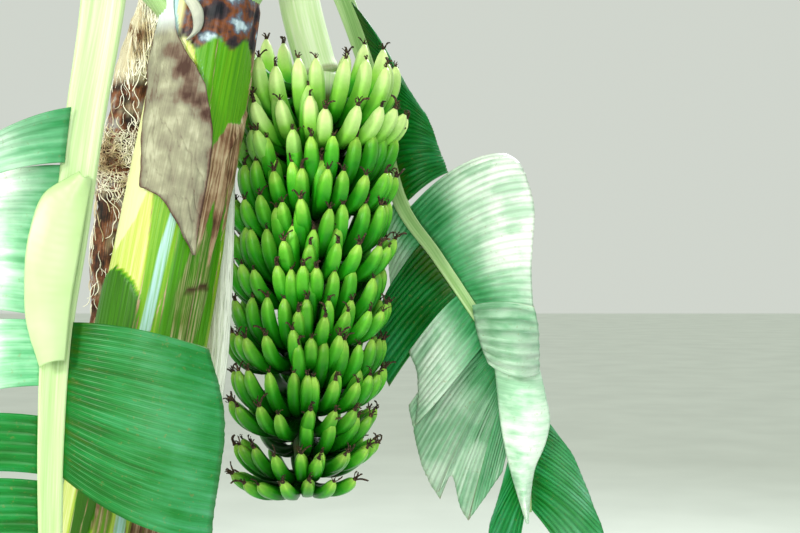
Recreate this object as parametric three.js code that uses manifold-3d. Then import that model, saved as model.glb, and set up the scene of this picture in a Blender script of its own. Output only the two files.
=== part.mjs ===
// A fruiting banana plant, rooted in the ground: a leaning stem of wrapped leaf sheaths, a crown of
// torn leaves, a stalk that arches over, and one hanging bunch of green fruit.
// Millimetres, +Z up, the origin at the middle of the flat cut under the stem.
import * as THREE from 'three';
import { mergeVertices } from 'three/addons/utils/BufferGeometryUtils.js';
import Module from 'manifold-3d';

const wasm = await Module();
wasm.setup();

// Driving dimensions
const GAP = 0.4;                        // clearance where one piece bears on another
const CUT_TOLERANCE = 0.08;             // by which a cut piece's surface may be smoothed

const STEM_HEIGHT = 2250;
const STEM_LEAN = { x: 0.183, y: 0.02 };  // sideways drift for each millimetre of height
const STEM_SIDES = 18;
const STEM_PROFILE = [                  // height, radius: flared foot, long taper
  [0, 168], [45, 152], [130, 135], [400, 123], [900, 119],
  [1430, 113], [1900, 102], [2150, 88], [STEM_HEIGHT, 76],
];

const STALK_RADIUS = 43;                // of the arching fruit stalk
const STALK_SIDES = 10;
const STALK_STEPS = 14;
const STALK_FOOT = [412, 45, 2230];     // in the middle of the stem's top
const FOOT_SWELL = 8;                   // the stalk is this much thicker where it leaves the stem
const ARCH = {                          // the half circle in which the stalk turns over
  middle: [455, 148, 2355],
  radius: 106,
  heading: [0.385, 0.923],
  turns: [180, 135, 90, 45, 0],
};
const STALK_END = [[506, 257, 2200], [518, 264, 2067], [556, 270, 1900]];

const BUNCH_TOP = [557, 270, 1911.6];   // where the straight bunch axis begins
const BUNCH_TILT = 0.037;               // radians; the bunch's lower end swings towards the stem
const BUNCH_LENGTH = 884;
const AXIS_RADII = [43, 38, 31, 17];    // of the bunch axis, from its top to its cut end
const AXIS_RINGS = 8;
const HANDS = 13;
const FIRST_HAND = 55;                  // below the top of the bunch axis
const HAND_PITCH = 67.5;
const HAND_START = -124;                // degrees round the axis, from the front towards the right
const HAND_TURN = 186;                  // degrees from one hand to the next
const HAND_SPAN = 166;                  // degrees of the axis that one hand's fingers take
const FINGERS_PER_ROW = [8, 7.4, 6.4, 5];
const PAD_RADII = [60, 58, 51, 38];
const PAD_HALF_HEIGHT = 21;
const PAD_OVERHANG = 3;                 // degrees that the pad runs past its outermost fingers
const PAD_STEPS = 6;
const ROW_OFFSET = 11;                  // of a hand's two rows, above and below its middle
const FINGER_SECTIONS = [[0, 9], [0.35, 16], [0.8, 18], [1, 7]];  // place along it, radius
const FINGER_SIDES = 5;
const FINGER_STEPS = 20;                // in which its curved line is followed
const FINGER_CURL = 1.2;                // over 1, a finger turns up more near its foot than near its tip
const FINGER_ROOT = 14;                 // depth at which it starts inside the pad
const FINGER_CHANCE = { angle: 1.6, z: 3, length: 0.035, start: 3, end: 5 };
const ROWS = [                          // each value at the bunch's top, shoulder, lower part and end
  { side: 1, length: [208, 182, 164, 112], start: [-6, -10, -10, -4], end: [84, 88, 84, 60] },
  { side: -1, length: [184, 170, 154, 104], start: [-36, -44, -42, -20], end: [64, 78, 74, 42] },
];

const BLADE_THICKNESS = 12;
const VEIN_SWEEP = 0.22;                // the side veins' lean towards the leaf's tip, in radians
const STRIPS_PER_SIDE = 5;              // the wind has torn each half of a blade into strips
const STRIPS_BEFORE_BEND = 2;
const STALK_RINGS = 3;
const LEAF_STEPS = 24;                  // in which an arching leaf's line is followed
const LEAF_ROOT = 0.6;                  // share of the stem's radius at which a leaf's stalk starts
const LEAF_BEND = 1.4;                  // over 1, a leaf bends down more near its tip
const DROOP_CHANCE = 9;                 // degrees by which one strip may hang lower than the next
const BLADE_ROUNDNESS = 2.6;            // 2 would make the blade an ellipse
const BLADE_TAPER = { foot: 1.05, tip: 0.89 };
const BLADE_END = 0.03;                 // share of the blade's length where its outline is cut square
const STRIP_RISE = 0.06;                // of a hanging strip's middle, as a share of its length
const TEAR_AT_RIB = 5;
const TEAR_AT_EDGE = 20;
const RIB_SIDES = 6;
const RIB_FOOT = { wide: 44, deep: 24 };
const RIB_TIP = { wide: 9, deep: 8 };
const RIB_TAPER = 0.6;                  // under 1, a rib thins most near its foot
const LEAVES = [                        // angles in degrees, the azimuth from +X towards +Y
  { azimuth: 20, sway: 26, foot: 2160, start: 82, end: 18, stalk: 320, blade: 1150, half: 225, droop: 10 },
  { azimuth: 170, sway: -12, foot: 2135, start: 77, end: -14, stalk: 350, blade: 1330, half: 255, droop: 18 },
  { azimuth: -42, sway: 10, foot: 2110, start: 72, end: -16, stalk: 360, blade: 1370, half: 265, droop: 20 },
  { azimuth: 132, sway: 14, foot: 2085, start: 70, end: -34, stalk: 370, blade: 1400, half: 275, droop: 26 },
  { azimuth: -74, sway: -14, foot: 2060, start: 66, end: -12, stalk: 380, blade: 1300, half: 270, droop: 24 },
  { azimuth: -146, sway: -10, foot: 2030, start: 60, end: -50, stalk: 390, blade: 1400, half: 280, droop: 34 },
  { azimuth: -8, sway: -8, foot: 2000, start: 56, end: -52, stalk: 400, blade: 1380, half: 280, droop: 36 },
  { azimuth: -166, sway: 22, foot: 1970, start: 46, end: -72, stalk: 410, blade: 1400, half: 275, droop: 44 },
];

// Two old leaves hang from a broken stalk. Their strips are given as the stretch of rib that each
// hangs from, in shares of the rib's length, and the two ends of its outer edge.
const BROKEN_LEAF = {                   // beside the bunch, snapped over once more near its tip
  name: 'broken_leaf',
  parts: ['stalk', 'blade', 'end'],
  line: [
    [400, 100, 2120], [372, 270, 2360], [430, 470, 2420], [560, 560, 2220], [670, 500, 1920],
    [732, 420, 1647], [814, 380, 1525], [898, 340, 1398], [949, 320, 1319], [996, 310, 1167], [1008, 310, 970],
  ],
  face: [-0.1, -1, 0.35],
  ribSize: 1,
  places: [0, 0.12, 0.24, 0.36, 0.5, 0.645, 0.715, 0.79, 0.86, 0.93, 1],
  splits: [3, 7],
  strips: [
    { from: 0.51, to: 0.635, edge: [[743, 450, 1900], [829, 440, 1719]] },
    {
      from: 0.65,
      to: 0.785,
      edge: [[834, 330, 1713], [926, 320, 1741], [998, 305, 1717], [1019, 300, 1557], [1017, 310, 1436]],
    },
    { from: 0.65, to: 0.70, edge: [[669, 445, 1510], [696, 440, 1442]] },
    { from: 0.705, to: 0.738, edge: [[687, 405, 1325], [699, 400, 1243]] },
    { from: 0.742, to: 0.763, edge: [[756, 380, 1311], [767, 375, 1187]] },
    { from: 0.767, to: 0.788, edge: [[785, 352, 1153], [802, 345, 1006]] },
    { from: 0.80, to: 0.84, edge: [[836, 330, 1050], [890, 325, 955]] },
    { from: 0.82, to: 0.985, edge: [[930, 300, 1290], [975, 300, 985]] },
    { from: 0.82, to: 0.985, edge: [[1030, 285, 1300], [1040, 290, 1010]] },
    { from: 0.80, to: 0.88, edge: [[1185, 365, 860], [1045, 355, 790]] },
  ],
};
const HANGING_LEAF = {                  // in front of the stem, straight down from its snapped stalk
  name: 'hanging_leaf',
  parts: ['stalk', 'blade', 'end'],
  line: [
    [375, 0, 2100], [320, -170, 2300], [285, -330, 2333], [270, -420, 2180], [260, -450, 1924],
    [231, -450, 1733], [207, -450, 1542], [187, -450, 1399], [178, -450, 1240], [176, -450, 1076],
    [180, -440, 750], [190, -430, 450],
  ],
  face: [0.1, -1, 0.2],
  ribSize: 1.6,
  places: [0, 0.11, 0.2, 0.3, 0.4, 0.5, 0.59, 0.7, 0.8, 0.9, 1],
  splits: [3, 7],
  strips: [
    { from: 0.47, to: 0.585, edge: [[184, -620, 1640], [176, -620, 1440]] },
    { from: 0.592, to: 0.69, edge: [[420, -430, 1364], [438, -430, 1105]] },
    { from: 0.60, to: 0.69, edge: [[-50, -430, 1330], [-60, -430, 1120]] },
    { from: 0.71, to: 0.83, edge: [[-60, -420, 1040], [-30, -420, 800]] },
    { from: 0.75, to: 0.85, edge: [[430, -420, 930], [400, -420, 720]] },
    { from: 0.855, to: 0.985, edge: [[370, -415, 650], [250, -420, 470]] },
    { from: 0.84, to: 0.985, edge: [[-20, -415, 740], [120, -420, 470]] },
  ],
};

// Dead parts
const DRY_STALK = {                     // a dead leaf's flattened stalk, hanging plumb beside the stem
  line: [
    [372, 110, 2100], [347, 172, 1990], [354, 164, 1800], [356, 155, 1620], [358, 127, 1330],
    [349, 107, 1200], [318, 92, 966], [303, 86, 800],
  ],
  wide: 46, deep: 21, sides: 8, steps: 9,
};
const DEAD_BUNDLE = {                   // brown straw of old sheaths, down the stem's far left
  line: [[335, 95, 2160], [240, 115, 1950], [180, 110, 1660], [150, 100, 1420], [140, 90, 1270]],
  wide: 76, deep: 48, sides: 9, steps: 7,
};
const DRY_SHEATH = {                    // a papery sheath end, loose on the stem's face
  thickness: 7,
  standOff: 3,
  columns: 5,
  rows: [                               // height, the azimuth of its middle, half the angle it spans
    [2060, -138, 24], [1925, -118, 28], [1790, -97, 38], [1656, -82, 33], [1521, -53, 4],
  ],
};

// A seeded row of numbers from 0 to 1
let seed = 20407;
function random() {
  seed = (Math.imul(seed, 1664525) + 1013904223) >>> 0;
  return seed / 4294967296;
}

function jitter(amount) {
  return (random() * 2 - 1) * amount;
}

// Small helpers
const vec = (x, y, z) => new THREE.Vector3(x, y, z);
const UP = vec(0, 0, 1);
const radians = THREE.MathUtils.degToRad;

// A value read off between keys of [place, value]
function between(keys, t) {
  const last = keys.length - 1;
  let i = 0;
  while (i < last - 1 && t > keys[i + 1][0]) i += 1;
  const [t0, v0] = keys[i];
  const [t1, v1] = keys[i + 1];
  return THREE.MathUtils.lerp(v0, v1, THREE.MathUtils.clamp((t - t0) / (t1 - t0), 0, 1));
}

// A value along the bunch: its top, shoulder, lower part and end
function alongBunch(values, t) {
  const places = [0, 0.25, 0.75, 1];
  return between(values.map((value, i) => [places[i], value]), t);
}

function smoothLine(points, steps) {
  return new THREE.CatmullRomCurve3(points.map(([x, y, z]) => vec(x, y, z))).getSpacedPoints(steps);
}

// Closed shapes from rows of points
const middleOf = (ring) => ring.reduce((sum, p) => sum.add(p), vec(0, 0, 0)).divideScalar(ring.length);

// A ring moved away from its neighbour, along the line through their middles
function movedOn(ring, neighbour, distance) {
  const step = middleOf(ring).sub(middleOf(neighbour)).setLength(distance);
  return ring.map((p) => p.clone().add(step));
}

// A skin over rings of equal count, closed with a fan at each end, which the swelling moves out
function loft(given, swell) {
  const last = given.length - 1;
  const rings = [
    movedOn(given[0], given[1], swell),
    ...given.slice(1, last),
    movedOn(given[last], given[last - 1], swell),
  ];
  const count = rings[0].length;
  const points = rings.flat();
  const faces = [];
  for (let r = 0; r < rings.length - 1; r += 1) {
    for (let k = 0; k < count; k += 1) {
      const a = r * count + k;
      const b = r * count + ((k + 1) % count);
      faces.push(a, b, b + count, a, b + count, a + count);
    }
  }
  const end = (rings.length - 1) * count;
  for (let k = 1; k < count - 1; k += 1) {
    faces.push(0, k + 1, k);
    faces.push(end, end + k, end + k + 1);
  }
  return toSolid(points, faces);
}

// A bent plate over a grid of points, with a thickness square to it, swollen on all its faces
function plate(grid, thickness, swell) {
  const nu = grid.length;
  const nv = grid[0].length;
  const past = (inner, point) => point.clone().sub(inner).setLength(swell * 1.5);  // edges may be slanted
  const rows = grid.map((row, i) => row.map((point, j) => {
    const moved = point.clone();
    if (i === 0) moved.add(past(grid[1][j], point));
    if (i === nu - 1) moved.add(past(grid[nu - 2][j], point));
    if (j === 0) moved.add(past(row[1], point));
    if (j === nv - 1) moved.add(past(row[nv - 2], point));
    return moved;
  }));
  const upper = [];
  const lower = [];
  for (let i = 0; i < nu; i += 1) {
    for (let j = 0; j < nv; j += 1) {
      const along = rows[Math.min(i + 1, nu - 1)][j].clone().sub(rows[Math.max(i - 1, 0)][j]);
      const across = rows[i][Math.min(j + 1, nv - 1)].clone().sub(rows[i][Math.max(j - 1, 0)]);
      const half = along.cross(across).normalize().multiplyScalar(thickness / 2 + swell);
      upper.push(rows[i][j].clone().add(half));
      lower.push(rows[i][j].clone().sub(half));
    }
  }
  const faces = [];
  const under = nu * nv;
  const quad = (a, b, c, d) => faces.push(a, b, c, a, c, d);
  for (let i = 0; i < nu - 1; i += 1) {
    for (let j = 0; j < nv - 1; j += 1) {
      const a = i * nv + j;
      quad(a, a + nv, a + nv + 1, a + 1);
      quad(under + a, under + a + 1, under + a + nv + 1, under + a + nv);
    }
  }
  for (let i = 0; i < nu - 1; i += 1) {
    const a = i * nv;
    const b = a + nv - 1;
    quad(a, under + a, under + a + nv, a + nv);
    quad(b, b + nv, under + b + nv, under + b);
  }
  for (let j = 0; j < nv - 1; j += 1) {
    const a = j;
    const b = (nu - 1) * nv + j;
    quad(a, a + 1, under + a + 1, under + a);
    quad(b, under + b, under + b + 1, b + 1);
  }
  return toSolid([...upper, ...lower], faces);
}

function toSolid(points, faces) {
  const geometry = new THREE.BufferGeometry();
  geometry.setAttribute('position', new THREE.Float32BufferAttribute(points.flatMap((p) => p.toArray()), 3));
  geometry.setIndex(faces);
  return solidOf(geometry);
}

function solidOf(geometry) {
  const merged = mergeVertices(geometry, 1e-4);
  const solid = new wasm.Manifold(new wasm.Mesh({
    numProp: 3,
    vertProperties: Float32Array.from(merged.attributes.position.array),
    triVerts: Uint32Array.from(merged.index.array),
  }));
  if (solid.volume() < 0) throw new Error('a shape is inside out');
  return solid;
}

// Rings of an oval tube along a line; wide lies across the line, deep lies square to it
function tubeRings(line, size, sides, faceOf) {
  return line.map((point, i) => {
    const ahead = line[Math.min(i + 1, line.length - 1)];
    const behind = line[Math.max(i - 1, 0)];
    const tangent = ahead.clone().sub(behind).normalize();
    const face = squareTo(faceOf(i / (line.length - 1)), tangent);
    const across = tangent.clone().cross(face);
    const { wide, deep } = size(i / (line.length - 1));
    return Array.from({ length: sides }, (_, k) => {
      const turn = ((k + 0.5) / sides) * 2 * Math.PI;
      return point.clone()
        .addScaledVector(across, -wide * Math.cos(turn))
        .addScaledVector(face, deep * Math.sin(turn));
    });
  });
}

// Lofts that meet face to face at the rings named, each but the first set back there by the gap
function splitLoft(rings, cuts, swell) {
  const ends = [0, ...cuts, rings.length - 1];
  return ends.slice(1).map((end, i) => {
    const part = rings.slice(ends[i], end + 1);
    if (i > 0) part[0] = movedOn(part[0], part[1], -GAP);
    return loft(part, swell);
  });
}

function squareTo(direction, tangent) {
  return direction.clone().addScaledVector(tangent, -direction.dot(tangent)).normalize();
}

// Joins, and cuts of which the largest body is kept
function join(solids) {
  return wasm.Manifold.union(solids);
}

function overlaps(a, b) {
  const p = a.boundingBox();
  const q = b.boundingBox();
  return [0, 1, 2].every((i) => p.min[i] < q.max[i] && q.min[i] < p.max[i]);
}

function cutClear(solid, swollen) {
  const near = swollen.filter((other) => overlaps(solid, other));
  const cut = near.length ? solid.subtract(join(near)) : solid;
  const bodies = cut.decompose().sort((a, b) => b.volume() - a.volume());
  return bodies[0].simplify(CUT_TOLERANCE);
}

function toGeometry(solid) {
  const { numProp, vertProperties, triVerts } = solid.getMesh();
  const geometry = new THREE.BufferGeometry();
  const positions = new Float32Array((vertProperties.length / numProp) * 3);
  for (let i = 0; i < positions.length / 3; i += 1) {
    for (let j = 0; j < 3; j += 1) positions[i * 3 + j] = vertProperties[i * numProp + j];
  }
  geometry.setAttribute('position', new THREE.BufferAttribute(positions, 3));
  geometry.setIndex(Array.from(triVerts));
  return geometry;
}

// Materials
const material = (color, roughness) => new THREE.MeshStandardMaterial({ color, roughness, metalness: 0 });
const stemMaterial = material('#9fb545', 0.6);
const drySheathMaterial = material('#a58a68', 0.85);
const stalkMaterial = material('#a9d46f', 0.5);
const fruitMaterial = material('#4f9d1e', 0.45);
const leafMaterial = material('#3f9140', 0.5);
const deadLeafMaterial = material('#7a5f45', 0.9);

const group = new THREE.Group();
const bunch = new THREE.Group();
bunch.position.set(...BUNCH_TOP);
bunch.rotation.y = BUNCH_TILT;
group.add(bunch);

function addPart(parent, name, solid, look) {
  const mesh = new THREE.Mesh(toGeometry(solid), look);
  mesh.name = name;
  parent.add(mesh);
}

// The stem: a leaning cone of wrapped sheaths with a flared foot
const stemAxis = (z) => vec(STEM_LEAN.x * z, STEM_LEAN.y * z, z);
const stemRadius = (z) => between(STEM_PROFILE, z);

function stemSolid(swell) {
  const rings = STEM_PROFILE.map(([z, radius]) => {
    return Array.from({ length: STEM_SIDES }, (_, k) => {
      const turn = (k / STEM_SIDES) * 2 * Math.PI;
      const reach = radius + swell / Math.cos(Math.PI / STEM_SIDES);
      return stemAxis(z).add(vec(reach * Math.cos(turn), reach * Math.sin(turn), 0));
    });
  });
  return loft(rings, swell);
}

const swollenStem = stemSolid(GAP);
addPart(group, 'pseudostem', stemSolid(0), stemMaterial);

// The stalk: up out of the crown, over, and down to the bunch
const stalkSideways = vec(ARCH.heading[1], -ARCH.heading[0], 0);
const archPoints = ARCH.turns.map((degrees) => {
  const out = ARCH.radius * Math.cos(radians(degrees));
  const [x, y, z] = ARCH.middle;
  return [x + ARCH.heading[0] * out, y + ARCH.heading[1] * out, z + ARCH.radius * Math.sin(radians(degrees))];
});
const stalkLine = smoothLine([STALK_FOOT, ...archPoints, ...STALK_END], STALK_STEPS);
const stalkTop = stalkLine.reduce((best, p, i) => (p.z > stalkLine[best].z ? i : best), 0);

function stalkSolids(swell) {
  const size = (t) => {
    const radius = STALK_RADIUS + FOOT_SWELL * (1 - t) ** 6 + swell;
    return { wide: radius, deep: radius };
  };
  const rings = tubeRings(stalkLine, size, STALK_SIDES, () => stalkSideways);
  return splitLoft(rings, [stalkTop], swell);
}

// The bunch axis hangs straight in the tilted group, and the stalk ends just clear of its top
const axisRadius = (z) => alongBunch(AXIS_RADII, -z / BUNCH_LENGTH);

function bunchAxis(swell) {
  const levels = Array.from({ length: AXIS_RINGS }, (_, i) => (i / (AXIS_RINGS - 1) - 1) * BUNCH_LENGTH);
  const rings = levels.map((z) => Array.from({ length: STALK_SIDES }, (_, k) => {
    const turn = (k / STALK_SIDES) * 2 * Math.PI;
    const reach = axisRadius(z) + swell;
    return vec(reach * Math.cos(turn), reach * Math.sin(turn), z);
  }));
  return loft(rings, swell);
}

// The bunch's pieces as they stand on the plant
bunch.updateWorldMatrix(true, false);
const hung = (solid) => solid.transform(bunch.matrixWorld.elements);

const swollenAxis = bunchAxis(GAP);
const [stalkRise, stalkFall] = stalkSolids(0);
addPart(group, 'stalk_rise', cutClear(stalkRise, [swollenStem]), stalkMaterial);
addPart(group, 'stalk_fall', cutClear(stalkFall, [hung(swollenAxis)]), stalkMaterial);
addPart(bunch, 'bunch_axis', bunchAxis(0), stalkMaterial);

// A hand: a pad round one side of the axis, and two rows of fingers that curve up from it.
// The outward direction at an angle from the front towards the right
const outward = (degrees) => vec(Math.sin(radians(degrees)), -Math.cos(radians(degrees)), 0);

function padSolid(middle, radius, z, swell) {
  const half = (HAND_SPAN / 2) + PAD_OVERHANG;
  const shape = new THREE.Shape();
  shape.moveTo(0, 0);
  for (let i = 0; i <= PAD_STEPS; i += 1) {
    const edge = outward(middle - half + (2 * half * i) / PAD_STEPS).multiplyScalar(radius + swell);
    shape.lineTo(edge.x, edge.y);
  }
  const depth = 2 * (PAD_HALF_HEIGHT + swell);
  const geometry = new THREE.ExtrudeGeometry(shape, { depth, bevelEnabled: false });
  geometry.translate(0, 0, z - depth / 2);
  geometry.deleteAttribute('normal');
  geometry.deleteAttribute('uv');
  return solidOf(geometry);
}

function fingerSolid(finger, swell) {
  const side = vec(Math.cos(radians(finger.angle)), Math.sin(radians(finger.angle)), 0);
  const out = outward(finger.angle);
  const rings = [];
  let reach = finger.foot;
  let height = finger.z;
  for (let i = 0; i <= FINGER_STEPS; i += 1) {
    const t = i / FINGER_STEPS;
    const rise = radians(THREE.MathUtils.lerp(finger.start, finger.end, 1 - (1 - t) ** FINGER_CURL));
    const section = FINGER_SECTIONS.find(([place]) => Math.abs(place - t) < 0.5 / FINGER_STEPS);
    if (section) {
      const radius = section[1] + swell;
      const centre = out.clone().multiplyScalar(reach).add(vec(0, 0, height));
      const deep = out.clone().multiplyScalar(-Math.sin(rise)).addScaledVector(UP, Math.cos(rise));
      rings.push(Array.from({ length: FINGER_SIDES }, (_, k) => {
        const turn = (k / FINGER_SIDES) * 2 * Math.PI;
        return centre.clone()
          .addScaledVector(side, -radius * Math.sin(turn))
          .addScaledVector(deep, radius * Math.cos(turn));
      }));
    }
    reach += Math.cos(rise) * (finger.length / FINGER_STEPS);
    height += Math.sin(rise) * (finger.length / FINGER_STEPS);
  }
  return loft(rings, swell);
}

function handFingers(index) {
  const t = index / (HANDS - 1);
  const middle = HAND_START + HAND_TURN * index;
  const count = Math.round(alongBunch(FINGERS_PER_ROW, t));
  const z = -FIRST_HAND - HAND_PITCH * index;
  const fingers = [];
  for (const row of ROWS) {
    const inRow = row.side > 0 ? count : count - 1;
    for (let k = 0; k < inRow; k += 1) {
      const place = (k - (inRow - 1) / 2) / (count - 1);
      fingers.push({
        angle: middle + place * HAND_SPAN + jitter(FINGER_CHANCE.angle),
        foot: alongBunch(PAD_RADII, t) - FINGER_ROOT,
        z: z + row.side * ROW_OFFSET + jitter(FINGER_CHANCE.z),
        length: alongBunch(row.length, t) * (1 + jitter(FINGER_CHANCE.length)),
        start: alongBunch(row.start, t) + jitter(FINGER_CHANCE.start),
        end: alongBunch(row.end, t) + jitter(FINGER_CHANCE.end),
      });
    }
  }
  return { fingers, middle, z, radius: alongBunch(PAD_RADII, t) };
}

function handSolid(hand, swell) {
  const pad = padSolid(hand.middle, hand.radius, hand.z, swell);
  return join([pad, ...hand.fingers.map((finger) => fingerSolid(finger, swell))]);
}

const swollenHands = [];
for (let index = 0; index < HANDS; index += 1) {
  const hand = handFingers(index);
  const clear = cutClear(handSolid(hand, 0), [swollenAxis, ...swollenHands]);
  addPart(bunch, `hand_${String(index + 1).padStart(2, '0')}`, clear, fruitMaterial);
  swollenHands.push(handSolid(hand, GAP));
}

// Leaves: a rib that thins towards the tip, and bent plates for the strips on both sides of it.
// The blade's half width along it, nearly parallel with round ends, as a share of its widest
function bladeShape(u) {
  const round = (1 - Math.abs(2 * u - 1) ** BLADE_ROUNDNESS) ** (1 / BLADE_ROUNDNESS);
  return round * THREE.MathUtils.lerp(BLADE_TAPER.foot, BLADE_TAPER.tip, u);
}

function archedLine(leaf) {
  const heading = radians(leaf.azimuth);
  const point = stemAxis(leaf.foot);
  point.add(vec(Math.cos(heading), Math.sin(heading), 0).multiplyScalar(stemRadius(leaf.foot) * LEAF_ROOT));
  const points = [point.clone()];
  for (let i = 0; i < LEAF_STEPS; i += 1) {
    const t = (i + 0.5) / LEAF_STEPS;
    const turn = radians(leaf.azimuth + leaf.sway * t);
    const rise = radians(leaf.start + (leaf.end - leaf.start) * t ** LEAF_BEND);
    const step = (leaf.stalk + leaf.blade) / LEAF_STEPS;
    point.add(vec(Math.cos(turn) * Math.cos(rise), Math.sin(turn) * Math.cos(rise), Math.sin(rise))
      .multiplyScalar(step));
    points.push(point.clone());
  }
  return new THREE.CatmullRomCurve3(points);
}

function ribRings(curve, places, faceAt, ribSize, swell) {
  return places.map((place) => {
    const tangent = curve.getTangentAt(place);
    const face = squareTo(faceAt(place), tangent);
    const across = tangent.clone().cross(face);
    const wide = THREE.MathUtils.lerp(RIB_FOOT.wide * ribSize, RIB_TIP.wide, place ** RIB_TAPER) + swell;
    const deep = THREE.MathUtils.lerp(RIB_FOOT.deep * ribSize, RIB_TIP.deep, place ** RIB_TAPER) + swell;
    return Array.from({ length: RIB_SIDES }, (_, k) => {
      const turn = ((k + 0.5) / RIB_SIDES) * 2 * Math.PI;
      return curve.getPointAt(place)
        .addScaledVector(across, -wide * Math.cos(turn))
        .addScaledVector(face, deep * Math.sin(turn));
    });
  });
}

// One strip of an arching leaf: it leaves the rib sideways and bends down towards its edge
function archedStrip(leaf, curve, side, index, bend, swell) {
  const total = leaf.stalk + leaf.blade;
  const placeOf = (u) => (leaf.stalk + u * leaf.blade) / total;
  const ends = [index / STRIPS_PER_SIDE, (index + 1) / STRIPS_PER_SIDE];
  const rows = ends.map((u, i) => {
    const inward = i === 0 ? 1 : -1;
    const rootU = u + (inward * TEAR_AT_RIB) / leaf.blade;
    const tornU = u + (inward * TEAR_AT_EDGE) / leaf.blade;
    const edgeU = THREE.MathUtils.clamp(tornU, BLADE_END, 1 - BLADE_END);
    const row = [curve.getPointAt(placeOf(rootU))];
    const start = curve.getPointAt(placeOf(edgeU));
    const tangent = curve.getTangentAt(placeOf(edgeU));
    const across = tangent.clone().cross(squareTo(UP, tangent)).multiplyScalar(side);
    const down = squareTo(UP, tangent).multiplyScalar(-0.5).addScaledVector(UP, -0.5).normalize();
    const width = leaf.half * bladeShape(edgeU);
    for (const share of [0.5, 1.5]) {
      const drop = bend * share;
      const reach = across.clone().multiplyScalar(Math.cos(drop)).addScaledVector(down, Math.sin(drop))
        .multiplyScalar(Math.cos(VEIN_SWEEP)).addScaledVector(tangent, Math.sin(VEIN_SWEEP));
      start.addScaledVector(reach, width / 2);
      row.push(start.clone());
    }
    return row;
  });
  return plate(rows, BLADE_THICKNESS, swell);
}

function archedLeaf(leaf) {
  const curve = archedLine(leaf);
  const foot = leaf.stalk / (leaf.stalk + leaf.blade);
  const places = [];
  for (let i = 0; i < STALK_RINGS; i += 1) places.push((foot * i) / STALK_RINGS);
  for (let left = STRIPS_PER_SIDE; left >= 0; left -= 1) {
    places.push(1 - ((1 - foot) * left) / STRIPS_PER_SIDE);
  }
  const strips = [];
  for (let index = 0; index < STRIPS_PER_SIDE; index += 1) {
    for (const side of [-1, 1]) strips.push({ side, index, bend: radians(leaf.droop + jitter(DROOP_CHANCE)) });
  }
  return (swell) => {
    const rings = ribRings(curve, places, () => UP, 1, swell);
    const ribs = splitLoft(rings, [STALK_RINGS + STRIPS_BEFORE_BEND], swell);
    return ribs.map((rib, part) => {
      const own = strips.filter(({ index }) => (index < STRIPS_BEFORE_BEND) === (part === 0));
      return join([rib, ...own.map(({ side, index, bend }) =>
        archedStrip(leaf, curve, side, index, bend, swell))]);
    });
  };
}

// A hanging leaf: its rib follows a drawn line, and its strips run to drawn edges
function drawnLeaf(leaf) {
  const curve = new THREE.CatmullRomCurve3(leaf.line.map(([x, y, z]) => vec(x, y, z)));
  const face = vec(...leaf.face);
  const bounds = leaf.splits.map((at) => leaf.places[at]);
  return (swell) => {
    const faceAt = (place) => UP.clone().lerp(face, Math.min(1, place * 2));
    const ribs = splitLoft(ribRings(curve, leaf.places, faceAt, leaf.ribSize, swell), leaf.splits, swell);
    return ribs.map((rib, part) => {
      const own = leaf.strips.filter(({ from }) => bounds.filter((bound) => from >= bound).length === part);
      return join([rib, ...own.map((strip) => drawnStrip(curve, strip, swell))]);
    });
  };
}

function drawnStrip(curve, strip, swell) {
  const rows = strip.edge.map((end, i) => {
    const share = i / (strip.edge.length - 1);
    const root = curve.getPointAt(THREE.MathUtils.lerp(strip.from, strip.to, share));
    const edge = vec(...end);
    const middle = root.clone().lerp(edge, 0.5).addScaledVector(UP, STRIP_RISE * root.distanceTo(edge));
    return [root, middle, edge];
  });
  return plate(rows, BLADE_THICKNESS, swell);
}

// The dead parts come first, so that the green leaves are cut clear of them
const inTheWay = [swollenStem, ...stalkSolids(GAP), ...swollenHands.map(hung)];

function addClear(parent, name, build, look) {
  addPart(parent, name, cutClear(build(0), inTheWay), look);
  inTheWay.push(build(GAP));
}

// An oval tube, thin at its head, full below and thin again at its end; wide lies along the stem's skin
function ovalTube({ line, wide, deep, sides, steps }, swell) {
  const size = (t) => {
    const share = 0.35 + 0.65 * Math.sin(Math.PI * Math.min(1, t + 0.12)) ** 0.7;
    return { wide: wide * share + swell, deep: deep * share + swell };
  };
  const points = smoothLine(line, steps);
  const faceAt = (t) => {
    const point = points[Math.round(t * steps)];
    return point.clone().sub(stemAxis(point.z));
  };
  return loft(tubeRings(points, size, sides, faceAt), swell);
}

function drySheath({ thickness, standOff, columns, rows }, swell) {
  const grid = rows.map(([z, middle, halfSpan]) => Array.from({ length: columns }, (_, j) => {
    const turn = radians(middle + halfSpan * ((2 * j) / (columns - 1) - 1));
    const reach = stemRadius(z) + thickness / 2 + standOff;
    return stemAxis(z).add(vec(reach * Math.cos(turn), reach * Math.sin(turn), 0));
  }));
  return plate(grid, thickness, swell);
}

addClear(group, 'dry_sheath', (swell) => drySheath(DRY_SHEATH, swell), drySheathMaterial);
addClear(group, 'dry_stalk', (swell) => ovalTube(DRY_STALK, swell), drySheathMaterial);
addClear(group, 'dead_bundle', (swell) => ovalTube(DEAD_BUNDLE, swell), deadLeafMaterial);

function addLeaf(names, build) {
  const swollen = build(GAP);
  build(0).forEach((solid, i) => {
    addPart(group, names[i], cutClear(solid, inTheWay), leafMaterial);
    inTheWay.push(swollen[i]);
  });
}

for (const leaf of [BROKEN_LEAF, HANGING_LEAF]) {
  addLeaf(leaf.parts.map((part) => `${leaf.name}_${part}`), drawnLeaf(leaf));
}
LEAVES.forEach((leaf, index) => {
  addLeaf(['inner', 'outer'].map((part) => `leaf_${index + 1}_${part}`), archedLeaf(leaf));
});

export default group;
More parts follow.
